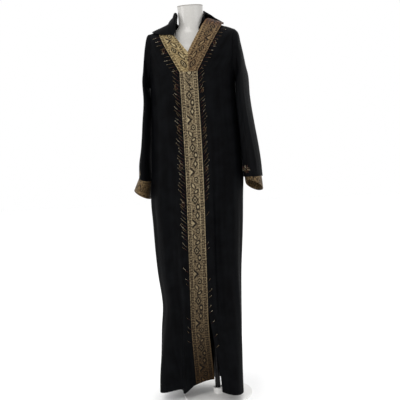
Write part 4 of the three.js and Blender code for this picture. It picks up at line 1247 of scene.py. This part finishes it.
@dataclass(frozen=True)
class MetalThreadFinish:
    """Wound metal thread or small beads, uneven from stitch to stitch."""

    name: str
    colour: Colour
    bright: Colour
    rough: float = 0.34
    metal: float = 0.85

    def make(self) -> bpy.types.Material:
        """Builds the finish."""
        net = Net(self.name)
        x, y, z = net.place()
        where = net.vector(x, y, z)
        patch = net.noise(where, 7, 2, 0.6)
        wound = net.wave(x + y + z, 1.3)
        colour = net.mix(net.step(patch, 0.35, 0.7), self.colour, self.bright)
        return net.surface({
            "Base Color": colour, "Metallic": self.metal, "Roughness": self.rough + patch * 0.2,
            "Normal": net.bump(wound, 0.0003, 0.7),
        })


@dataclass(frozen=True)
class GlossFinish:
    """The form's moulded glossy shell: almost even, with a faint ripple and dust."""

    name: str
    shell: Colour = paint(181, 179, 175)
    dusty: Colour = paint(171, 168, 163)

    def make(self) -> bpy.types.Material:
        """Builds the finish."""
        net = Net(self.name)
        where = net.vector(*net.place())
        ripple = net.noise(where, 70, 2, 0.5)
        dust = net.noise(where, 9, 4, 0.65)
        colour = net.mix(net.step(dust, 0.45, 0.8) * 0.6, self.shell, self.dusty)
        return net.surface({
            "Base Color": colour, "Roughness": 0.2 + dust * 0.14, "Coat Weight": 0.35,
            "Coat Roughness": 0.12, "Specular IOR Level": 0.5,
            "Normal": net.bump(ripple + dust * 0.02, 0.004, 0.25),
        })


@dataclass(frozen=True)
class MetalFinish:
    """Painted or brushed metal with fine scratches and worn patches."""

    name: str
    colour: Colour
    worn: Colour
    metal: float
    rough: float
    stretch: tuple[float, float, float] = (1.0, 1.0, 0.05)

    def make(self) -> bpy.types.Material:
        """Builds the finish."""
        net = Net(self.name)
        x, y, z = net.place()
        stretched = net.vector(x * self.stretch[0], y * self.stretch[1], z * self.stretch[2])
        scratch = net.noise(stretched, 0.8, 3, 0.7)
        patch = net.noise(net.vector(x, y, z), 26, 3, 0.6)
        colour = net.mix(net.step(patch, 0.4, 0.75) * 0.6 + scratch * 0.2, self.colour, self.worn)
        return net.surface({
            "Base Color": colour, "Metallic": self.metal,
            "Roughness": self.rough + patch * 0.12 + scratch * 0.06,
            "Normal": net.bump(scratch, 0.00012, 0.5),
        })


# ---------------------------------------------------------------------------------------------
# Form and stand
# ---------------------------------------------------------------------------------------------


@dataclass(frozen=True)
class FormSection:
    """One level section of the dress form: height, half width and half depth."""

    z: float
    half: float
    deep: float


FORM_BOTTOM = 860.0
FORM_TOP = 1630.0
FORM_LEAN = -20.0      # sideways place of the neck, from the pole
FORM_SECTIONS = (
    FormSection(860, 128, 76), FormSection(864, 138, 84), FormSection(885, 150, 93),
    FormSection(930, 156, 98), FormSection(990, 150, 94), FormSection(1070, 126, 84),
    FormSection(1130, 119, 82), FormSection(1210, 130, 90), FormSection(1300, 142, 95),
    FormSection(1380, 148, 92), FormSection(1440, 152, 84), FormSection(1475, 153, 74),
    FormSection(1497, 143, 64), FormSection(1512, 119, 57), FormSection(1524, 90, 52),
    FormSection(1535, 67, 50), FormSection(1546, 55, 49), FormSection(1560, 52, 48),
    FormSection(1592, 51, 48), FormSection(1630, 52, 48),
)
NECK_CAP_EDGE = 2.0    # rounding of the neck's flat top
ROUND_STEPS = 96       # points round the form, pole and plate


class DressForm:
    """The limbless torso with its flat-topped neck, and the pole and plate that it stands on."""

    def __init__(self) -> None:
        """Reads the sections."""
        self.half = Curve([(s.z, s.half) for s in FORM_SECTIONS])
        self.deep = Curve([(s.z, s.deep) for s in FORM_SECTIONS])

    def heights(self) -> list[tuple[float, float]]:
        """Heights of the rings, each with how far it is drawn in at a rounded end."""
        body = [(float(z), 0.0) for z in np.linspace(FORM_BOTTOM + 3, FORM_TOP - NECK_CAP_EDGE, 110)]
        cap = [(FORM_TOP - NECK_CAP_EDGE * (1 - math.sin(a)), NECK_CAP_EDGE * (1 - math.cos(a)))
               for a in np.linspace(0, math.pi / 2, 5)[1:]]
        return [(FORM_BOTTOM, 3.0), (FORM_BOTTOM + 1, 1.2)] + body + cap

    def torso(self, material: bpy.types.Material) -> bpy.types.Object:
        """The torso, ring joined to ring and closed at both ends."""
        work = bmesh.new()
        rings = []
        for z, drawn in self.heights():
            middle = FORM_LEAN * (z - FORM_BOTTOM) / (FORM_TOP - FORM_BOTTOM)
            size = Matrix.Diagonal(((self.half(z) - drawn) * MM, (self.deep(z) - drawn) * MM, 1, 1))
            made = bmesh.ops.create_circle(work, segments=ROUND_STEPS, radius=1,
                                           matrix=Matrix.Translation((middle * MM, 0, z * MM)) @ size)
            edges = {edge for vert in made["verts"] for edge in vert.link_edges}
            rings.append(sorted(edges, key=lambda edge: edge.index))
        for low, high in zip(rings, rings[1:]):
            bmesh.ops.bridge_loops(work, edges=low + high)
        for ring in (rings[0], rings[-1]):
            bmesh.ops.contextual_create(work, geom=ring)
        bmesh.ops.recalc_face_normals(work, faces=work.faces)
        for face in work.faces:
            face.smooth = len(face.verts) == 4
        return finish_piece(to_object(work, "form_torso", material), ["dress_form"])

    def neck_rim(self, material: bpy.types.Material) -> bpy.types.Object:
        """The thin line round the neck's flat top, coloured darker as painted shade of the neck's edge."""
        work = bmesh.new()
        z = FORM_TOP - NECK_CAP_EDGE - 1.2
        rings = []
        for drop, out in ((1.1, 0.0), (0.8, 0.45), (-0.8, 0.45), (-1.1, 0.0), (0.0, -0.6), (1.1, 0.0)):
            size = Matrix.Diagonal(((self.half(z) + out) * MM, (self.deep(z) + out) * MM, 1, 1))
            place = Matrix.Translation((FORM_LEAN * MM, 0, (z + drop) * MM))
            made = bmesh.ops.create_circle(work, segments=ROUND_STEPS, radius=1, matrix=place @ size)
            rings.append({edge for vert in made["verts"] for edge in vert.link_edges})
        for low, high in zip(rings, rings[1:]):
            bmesh.ops.bridge_loops(work, edges=list(low) + list(high))
        bmesh.ops.remove_doubles(work, verts=work.verts, dist=1e-6)
        bmesh.ops.recalc_face_normals(work, faces=work.faces)
        for face in work.faces:
            face.smooth = True
        return finish_piece(to_object(work, "form_neck_rim", material), [])

    @staticmethod
    def spun(name: str, profile: Sequence[tuple[float, float]], material: bpy.types.Material, sharp: float,
             slot: Slot, node: str) -> bpy.types.Object:
        """A round solid from a profile of radius and height that starts and ends on the axis."""
        work = bmesh.new()
        verts = [work.verts.new((radius * MM, 0, z * MM)) for radius, z in profile]
        edges = [work.edges.new(pair) for pair in zip(verts, verts[1:])]
        bmesh.ops.spin(work, geom=verts + edges, cent=(0, 0, 0), axis=(0, 0, 1), angle=2 * math.pi,
                       steps=ROUND_STEPS, use_merge=True)
        bmesh.ops.remove_doubles(work, verts=work.verts, dist=1e-6)
        bmesh.ops.recalc_face_normals(work, faces=work.faces)
        for face in work.faces:
            face.smooth = True
        for edge in work.edges:
            edge.smooth = len(edge.link_faces) == 2 and edge.calc_face_angle(0) < math.radians(sharp)
        return finish_piece(to_object(work, name, material), [node])

    def pole(self, material: bpy.types.Material) -> bpy.types.Object:
        """The tube, coloured dark: painted reflection of the black cloth in its metal."""
        profile = ((0, 6.3), (10, 6.3), (11, 7.3), (11, 858.7), (10, 859.7), (0, 859.7))
        return self.spun("stand_pole", profile, material, 40, Slot.TUBE, "pole")

    def plate(self, material: bpy.types.Material) -> bpy.types.Object:
        """The round plate with the collar that the pole stands in."""
        soft = [(143 + 2 * math.cos(a), 4 + 2 * math.sin(a)) for a in np.linspace(0, math.pi / 2, 6)]
        lip = [(18 + 2 * math.cos(a), 28 + 2 * math.sin(a)) for a in np.linspace(0, math.pi / 2, 6)]
        profile = [(0, 0), (144, 0), (145, 1), *soft, (22, 6), (20.4, 6.8), (20, 8.5), *lip,
                   (11.8, 30), (11.3, 29.5), (11.3, 6), (0, 6)]
        return self.spun("stand_plate", profile, material, 40, Slot.PLATE, "base")


# ---------------------------------------------------------------------------------------------
# Metal stitching
# ---------------------------------------------------------------------------------------------


class Thread(Enum):
    """The three colours of the stitching, in the order of their material slots."""

    RUSSET = 0
    BRONZE = 1
    PALE = 2


@dataclass(frozen=True)
class StitchRun:
    """A run of slanting stitches along one edge of the trim."""

    side: int
    foot: float          # height where it starts
    head: float
    pitch: float         # from stitch to stitch
    reach: float         # across
    rise: float          # up
    keep: float          # share of the stitches still in place


STITCH_RUNS = (
    StitchRun(-1, 730, 1520, 14.5, 24, 24, 0.96), StitchRun(-1, 560, 730, 15, 19, 20, 0.6),
    StitchRun(-1, 240, 560, 20, 13, 14, 0.34),
    StitchRun(1, 900, 1552, 13.5, 20, 20, 0.95), StitchRun(1, 790, 900, 15, 16, 16, 0.6),
    StitchRun(1, 240, 790, 21, 11, 11, 0.28),
)


@dataclass(frozen=True)
class Curl:
    """A curled leaf worked in thread, at a height beside the trim."""

    side: int
    height: float
    size: float


CURLS = (
    Curl(-1, 1452, 15), Curl(-1, 1306, 17), Curl(-1, 1146, 17), Curl(-1, 992, 18), Curl(-1, 838, 16),
    Curl(1, 1470, 14), Curl(1, 1290, 15), Curl(1, 1136, 14), Curl(1, 980, 13),
)


class Stitching:
    """Slanting metal-thread stitches and curled leaves along the trims, and sprigs above the cuffs."""

    LIFT = 0.5
    THICK = 0.52
    BEAD = 2.4           # length of a bead at a stitch's end
    NECK_RISE = -0.15    # the neck's stitches lie nearly level, square to its slope

    def __init__(self, body: Body, sleeves: Sleeves, materials: Sequence[bpy.types.Material]) -> None:
        """Keeps the surfaces that it is worked on and its finishes, with its own steady chance."""
        self.body, self.sleeves, self.materials = body, sleeves, materials
        self.chance = random.Random(11)

    def start(self, name: str) -> bpy.types.Curve:
        """An empty set of threads, with their finishes."""
        curve = bpy.data.curves.new(name, "CURVE")
        for material in self.materials:
            curve.materials.append(material)
        curve.dimensions = "3D"
        curve.bevel_depth = self.THICK * MM
        curve.bevel_resolution = 1
        curve.use_fill_caps = True
        return curve

    def edge(self, side: int, z: float) -> float:
        """The trim's outer edge at a height."""
        if z > YOKE:
            return float(self.body.trim_edge[side](z))
        margin = float(self.body.margin(z)) if side > 0 else 0.0
        slit = float(self.body.slit(z)) if side > 0 and z < SLIT_TOP else 0.0
        return float(self.body.band(z)) + side * (BAND_HALF + margin + slit)

    def on_body(self, side: int, path: Sequence[tuple[float, float]], lift: float) -> np.ndarray:
        """Points on the front's surface, given as x and height."""
        x, z = np.array([p[0] for p in path], float), np.array([p[1] for p in path], float)
        level = self.body.level_at(x, z)
        bearing = self.body.bearing_at(x, level)
        return self.body.marks(bearing, level, fallen=side < 0, lift=np.full(len(x), lift))

    def stitch(self, curve: bpy.types.Curve, points: np.ndarray, thread: Thread, ends: float = 0.45) -> None:
        """Adds one thread, thinner at its ends."""
        line = curve.splines.new("POLY")
        line.points.add(len(points) - 1)
        line.material_index = thread.value
        last = len(points) - 1
        for i, point in enumerate(points):
            line.points[i].co = (*(point * MM), 1.0)
            line.points[i].radius = ends + (1 - ends) * math.sin(math.pi * i / last)

    def run(self, curve: bpy.types.Curve, run: StitchRun) -> None:
        """Works one run of slanting stitches."""
        z = run.foot
        while z < run.head:
            if self.chance.random() < run.keep:
                edge = self.edge(run.side, z)
                reach = run.reach * self.chance.uniform(0.75, 1.15)
                rise = run.rise * self.chance.uniform(0.8, 1.15) * (self.NECK_RISE if z > YOKE else 1.0)
                start = 2.5 + self.chance.uniform(0, 2.5)
                path = []
                for t in (0.0, 0.33, 0.66, 1.0):
                    bow = 1.6 * math.sin(math.pi * t)
                    path.append((edge + run.side * (start + reach * t + bow), z + rise * t))
                points = self.on_body(run.side, path, self.LIFT)
                inner, outer = points[:3], points[1:]
                self.stitch(curve, inner, self.chance.choice((Thread.RUSSET, Thread.RUSSET, Thread.BRONZE)))
                self.stitch(curve, outer, self.chance.choice((Thread.BRONZE, Thread.BRONZE, Thread.PALE)))
                if self.chance.random() < 0.4:
                    way = (points[-1] - points[-2]) / np.linalg.norm(points[-1] - points[-2])
                    bead = points[-1] + way * np.linspace(0, self.BEAD, 3)[:, None]
                    self.stitch(curve, bead, Thread.PALE, 2.2)
            z += run.pitch * self.chance.uniform(0.85, 1.15)

    def curl(self, curve: bpy.types.Curve, curl: Curl) -> None:
        """Works one curled leaf: two turns of outline and a few threads inside."""
        edge = self.edge(curl.side, curl.height)
        middle = (edge + curl.side * (curl.size * 0.75 + 3), curl.height)
        for share, thread in ((1.0, Thread.BRONZE), (0.5, Thread.RUSSET)):
            path = []
            for turn in np.linspace(-0.35, 1.45, 16):
                radius = curl.size * share * (1 - 0.28 * max(turn, 0)) * 0.62
                angle = math.pi * turn
                path.append((middle[0] + curl.side * radius * math.sin(angle) * 0.75,
                             middle[1] + radius * math.cos(angle) * 1.15))
            self.stitch(curve, self.on_body(curl.side, path, self.LIFT + 0.2), thread, 0.7)

    def front(self, side: int) -> bpy.types.Object:
        """All the stitching on one front."""
        name = "stitching_left" if side < 0 else "stitching_right"
        curve = self.start(name)
        for run in STITCH_RUNS:
            if run.side == side:
                self.run(curve, run)
        for curl in CURLS:
            if curl.side == side:
                self.curl(curve, curl)
        return self.finish(curve)

    def sprig(self, cut: SleeveCut, turn: float, z: float, size: float) -> bpy.types.Object:
        """A small round sprig above a cuff: threads that open like a fan about a bead."""
        side = "left" if cut.side < 0 else "right"
        curve = self.start(f"sprig_{side}")
        grid = self.sleeves.sleeve(cut).at
        row = int(np.argmin(np.abs(grid[:, 0, 2] - z)))
        column = round(turn / 360 * RING_STEPS)
        at = grid[row, column]
        across = grid[row, column + 1] - grid[row, column - 1]
        across /= np.linalg.norm(across)
        up = grid[row - 2, column] - grid[row + 2, column]
        up /= np.linalg.norm(up)
        out = np.cross(across, up)
        out *= np.sign(-out[1])
        for angle in np.linspace(0, 2 * math.pi, 20)[:-1]:
            way = across * math.cos(angle) + up * math.sin(angle)
            reach = size * self.chance.uniform(0.7, 1.1)
            points = np.array([at + way * reach * r + out * 0.7 for r in (0.3, 0.55, 0.8, 1.0)])
            self.stitch(curve, points, self.chance.choice((Thread.PALE, Thread.BRONZE, Thread.RUSSET)), 0.8)
        bead = np.array([at + out * 0.9 + across * d for d in (-1.6, 0, 1.6)])
        self.stitch(curve, bead, Thread.PALE, 1.0)
        return self.finish(curve)

    @staticmethod
    def finish(curve: bpy.types.Curve) -> bpy.types.Object:
        """Turns the threads into a mesh piece."""
        rough = bpy.data.objects.new(curve.name + "_threads", curve)
        bpy.context.scene.collection.objects.link(rough)
        mesh = bpy.data.meshes.new_from_object(rough.evaluated_get(bpy.context.evaluated_depsgraph_get()))
        bpy.data.objects.remove(rough)
        mesh.name = curve.name
        for face in mesh.polygons:
            face.use_smooth = True
        piece = bpy.data.objects.new(curve.name, mesh)
        bpy.context.scene.collection.objects.link(piece)
        return finish_piece(piece, [])


# ---------------------------------------------------------------------------------------------
# Studio
# ---------------------------------------------------------------------------------------------


@dataclass(frozen=True)
class SoftLight:
    """A soft square light: place, what it looks at, size and power."""

    name: str
    place: tuple[float, float, float]
    aim: tuple[float, float, float]
    size: float
    power: float
    colour: Colour = (1.0, 1.0, 1.0)


LIGHTS = (
    SoftLight("key", (-0.9, -2.3, 2.9), (0.0, 0.0, 1.15), 1.3, 20, (1.0, 0.98, 0.95)),
    SoftLight("fill", (2.2, -1.6, 1.7), (0.0, 0.0, 1.0), 1.6, 6, (0.93, 0.96, 1.0)),
    SoftLight("side", (-3.0, -1.2, 1.9), (-0.2, 0.0, 1.1), 1.4, 14),
    SoftLight("top", (0.1, 0.2, 3.4), (0.0, 0.0, 1.0), 1.6, 14),
    SoftLight("back", (0.4, 2.6, 2.3), (0.0, 0.0, 1.1), 1.6, 8),
)


class Studio:
    """Camera, lights, world and floor."""

    CAMERA_AZIMUTH = 7.0
    CAMERA_AWAY = 3.2
    CAMERA_HEIGHT = 1.27
    CAMERA_ROLL = 3.55
    TARGET = (-0.028, 0.0, 0.84)
    LENS = 70.0

    def camera(self) -> None:
        """Sets up the camera."""
        data = bpy.data.cameras.new("camera")
        data.lens, data.sensor_width = self.LENS, 36.0
        data.clip_start, data.clip_end = 0.05, 60.0
        camera = bpy.data.objects.new("camera", data)
        bpy.context.scene.collection.objects.link(camera)
        around = math.radians(self.CAMERA_AZIMUTH)
        place = Vector((self.CAMERA_AWAY * math.sin(around), -self.CAMERA_AWAY * math.cos(around),
                        self.CAMERA_HEIGHT))
        ahead = (Vector(self.TARGET) - place).normalized()
        right = ahead.cross(Vector((0, 0, 1))).normalized()
        up = right.cross(ahead)
        roll = math.radians(self.CAMERA_ROLL)
        across = right * math.cos(roll) - up * math.sin(roll)
        upward = right * math.sin(roll) + up * math.cos(roll)
        turn = Matrix((across, upward, -ahead)).transposed().to_4x4()
        camera.matrix_world = Matrix.Translation(place) @ turn
        bpy.context.scene.camera = camera

    def lights(self) -> None:
        """Sets up the lights."""
        for light in LIGHTS:
            data = bpy.data.lights.new(light.name, "AREA")
            data.energy, data.color = light.power, light.colour
            data.shape, data.size = "SQUARE", light.size
            lamp = bpy.data.objects.new(light.name, data)
            lamp.location = light.place
            away = Vector(light.aim) - Vector(light.place)
            lamp.rotation_euler = away.to_track_quat("-Z", "Y").to_euler()
            bpy.context.scene.collection.objects.link(lamp)

    def world(self) -> None:
        """Fills the room with even white light."""
        world = bpy.data.worlds.new("room")
        world.use_nodes = True
        back = world.node_tree.nodes["Background"]
        back.inputs["Color"].default_value = (1.0, 1.0, 1.0, 1.0)
        back.inputs["Strength"].default_value = 1.0
        bpy.context.scene.world = world
        bpy.context.scene.view_settings.view_transform = "Standard"

    def floor(self) -> None:
        """Lays the pale floor."""
        work = bmesh.new()
        bmesh.ops.create_grid(work, x_segments=2, y_segments=2, size=6.0)
        net = Net("floor_paint")
        x, y, _ = net.place()
        soft = net.noise(net.vector(x, y), 420, 2, 0.5)
        tone = net.mix(soft, paint(253, 253, 253), paint(255, 255, 255))
        floor = to_object(work, "floor", net.surface({"Base Color": tone, "Roughness": 0.9}))

    def build(self) -> None:
        """Builds the whole studio."""
        self.camera()
        self.lights()
        self.world()
        self.floor()
        log.info("studio made")


# ---------------------------------------------------------------------------------------------
# The kaftan
# ---------------------------------------------------------------------------------------------

OLD_GOLD = paint(80, 67, 50)
PALE_GOLD = paint(158, 144, 114)
WARM_GOLD = paint(108, 90, 58)
BRIGHT_GOLD = paint(172, 155, 116)
BROWN_GOLD = paint(72, 54, 36)
DULL_GOLD = paint(136, 114, 82)
OLIVE_GOLD = paint(74, 58, 36)
# Multiplied into the upright trim towards the hem: partly its own darker tone and partly painted shade of
# the light falling off downwards.
BROWN_TONE_AND_SHADE = paint(124, 104, 80)
ORANGE_DUSK = paint(176, 132, 92)


@dataclass(frozen=True)
class SheetCut:
    """A sheet of the garment: its piece, node, flat size and what it hangs from."""

    piece: str
    node: str
    flat: tuple[float, float]
    area: float
    rests_on: tuple[str, ...]


CUTS = {
    "front_left": SheetCut("cloth_front_left", "front_left", (0.27, 1.56), 0.36, ("form_torso",)),
    "front_right": SheetCut("cloth_front_right", "front_right", (0.27, 1.56), 0.33, ("form_torso",)),
    "back": SheetCut("cloth_back", "back", (0.54, 1.56), 0.78, ("form_torso",)),
    "hood": SheetCut("cloth_hood", "hood", (0.62, 0.42), 0.2, ("cloth_back",)),
    "sleeve_left": SheetCut("cloth_sleeve_left", "sleeve_left", (0.42, 0.62), 0.25, ("cloth_front_left",)),
    "sleeve_right": SheetCut("cloth_sleeve_right", "sleeve_right", (0.42, 0.62), 0.25,
                             ("cloth_front_right",)),
    "upright": SheetCut("trim_upright", "placket_band", (0.075, 1.33), 0.097, ("cloth_front_left",)),
    "neck_left": SheetCut("trim_neck_left", "neck_band_left", (0.08, 0.24), 0.016, ("cloth_front_left",)),
    "neck_right": SheetCut("trim_neck_right", "neck_band_right", (0.08, 0.26), 0.017,
                           ("cloth_front_right",)),
    "cuff_left": SheetCut("trim_cuff_left", "cuff_left", (0.4, 0.075), 0.027, ("cloth_sleeve_left",)),
    "cuff_right": SheetCut("trim_cuff_right", "cuff_right", (0.4, 0.055), 0.019, ("cloth_sleeve_right",)),
}


class Kaftan:
    """The garment's panels, trims and stitching."""

    def __init__(self) -> None:
        """Makes the surfaces and finishes."""
        self.body = Body()
        self.sleeves = Sleeves(self.body)
        self.panel_crepe = CrepeFinish("crepe_panel").make()
        self.plain_crepe = CrepeFinish("crepe_plain", hem_line=0.0).make()

    def sheet(self, key: str, grid: Grid, thick: float, material: bpy.types.Material) -> bpy.types.Object:
        """Builds one sheet from its cut."""
        cut = CUTS[key]
        piece = Cloth(cut.piece, grid, thick).build(material)
        finish_piece(piece, [cut.node])
        return piece

    def panels(self) -> None:
        """The crepe: back, fronts, sleeves and hood."""
        self.sheet("back", self.body.back_panel(120), CREPE_THICK, self.panel_crepe)
        self.sheet("front_left", self.body.front_panel(-1, 70), CREPE_THICK, self.panel_crepe)
        self.sheet("front_right", self.body.front_panel(1, 64), CREPE_THICK, self.panel_crepe)
        self.sheet("sleeve_left", self.sleeves.sleeve(LEFT_SLEEVE), CREPE_THICK, self.plain_crepe)
        self.sheet("sleeve_right", self.sleeves.sleeve(RIGHT_SLEEVE), CREPE_THICK, self.plain_crepe)
        self.sheet("hood", hood_grid(), CREPE_THICK, self.plain_crepe)

    def trims(self) -> None:
        """The woven trims: upright, neck and cuffs."""
        # The upright trim darkens from 950 mm down to 100 mm, partly as painted shade of the light falling
        # off towards the hem.
        upright = TrimFinish("trim_upright", BAND_HALF, UPRIGHT_MOTIFS, TRIM_REPEAT, 1273.0,
                             OLD_GOLD, PALE_GOLD, BROWN_TONE_AND_SHADE, 950.0, 100.0)
        neck_left = TrimFinish("trim_neck_left", NECK_TRIM_HALF, NECK_MOTIFS, NECK_REPEAT, NECK_START,
                               WARM_GOLD, BRIGHT_GOLD, BROWN_TONE_AND_SHADE,
                               border=NECK_BORDER, lead=NECK_LEAD, upward=True)
        neck_right = TrimFinish("trim_neck_right", NECK_TRIM_HALF, NECK_MOTIFS, NECK_REPEAT, NECK_START,
                                BROWN_GOLD, DULL_GOLD, ORANGE_DUSK, 190.0, 240.0,
                                border=NECK_BORDER, lead=NECK_LEAD, upward=True)
        cuff = TrimFinish("trim_cuff", 32.0, CUFF_MOTIFS, 76.0, 0.0, OLIVE_GOLD, DULL_GOLD, BROWN_TONE_AND_SHADE,
                          border=12.0, lead=10.0, upward=True)
        self.sheet("upright", self.body.upright_trim(48), TRIM_THICK, upright.make())
        self.sheet("neck_left", self.body.neck_trim(-1, 40), TRIM_THICK, neck_left.make())
        self.sheet("neck_right", self.body.neck_trim(1, 40), TRIM_THICK, neck_right.make())
        cuff_finish = cuff.make()
        self.sheet("cuff_left", self.sleeves.cuff(LEFT_SLEEVE), TRIM_THICK, cuff_finish)
        self.sheet("cuff_right", self.sleeves.cuff(RIGHT_SLEEVE), TRIM_THICK, cuff_finish)

    def threads(self) -> None:
        """The metal stitching."""
        threads = (
            MetalThreadFinish("thread_russet", paint(66, 30, 24), paint(102, 62, 50)).make(),
            MetalThreadFinish("thread_bronze", paint(100, 82, 58), paint(144, 124, 92)).make(),
            MetalThreadFinish("thread_pale", paint(152, 140, 116), paint(206, 196, 172)).make(),
        )
        stitching = Stitching(self.body, self.sleeves, threads)
        stitching.front(-1)
        stitching.front(1)
        stitching.sprig(RIGHT_SLEEVE, 84, 966, 17)
        stitching.sprig(LEFT_SLEEVE, 118, 962, 12)


def main() -> None:
    """Builds everything in order."""
    logging.basicConfig(level=logging.INFO, format="%(name)s: %(message)s")
    Studio().build()
    form = DressForm()
    form.torso(GlossFinish("form_gloss").make())
    # The rim's darker grey is painted shade of the neck's top edge.
    form.neck_rim(MetalFinish("form_rim", paint(120, 116, 112), paint(150, 146, 140), 0.2, 0.4).make())
    # The pole's near-black metal colour paints its reflection of the black cloth.
    form.pole(MetalFinish("pole_metal", paint(26, 26, 28), paint(54, 52, 51), 0.9, 0.3).make())
    form.plate(MetalFinish("plate_paint", paint(236, 235, 233), paint(226, 224, 221), 0.05, 0.4,
                           (0.3, 0.3, 0.3)).make())
    kaftan = Kaftan()
    kaftan.panels()
    kaftan.trims()
    kaftan.threads()


if __name__ == "__main__":
    main()
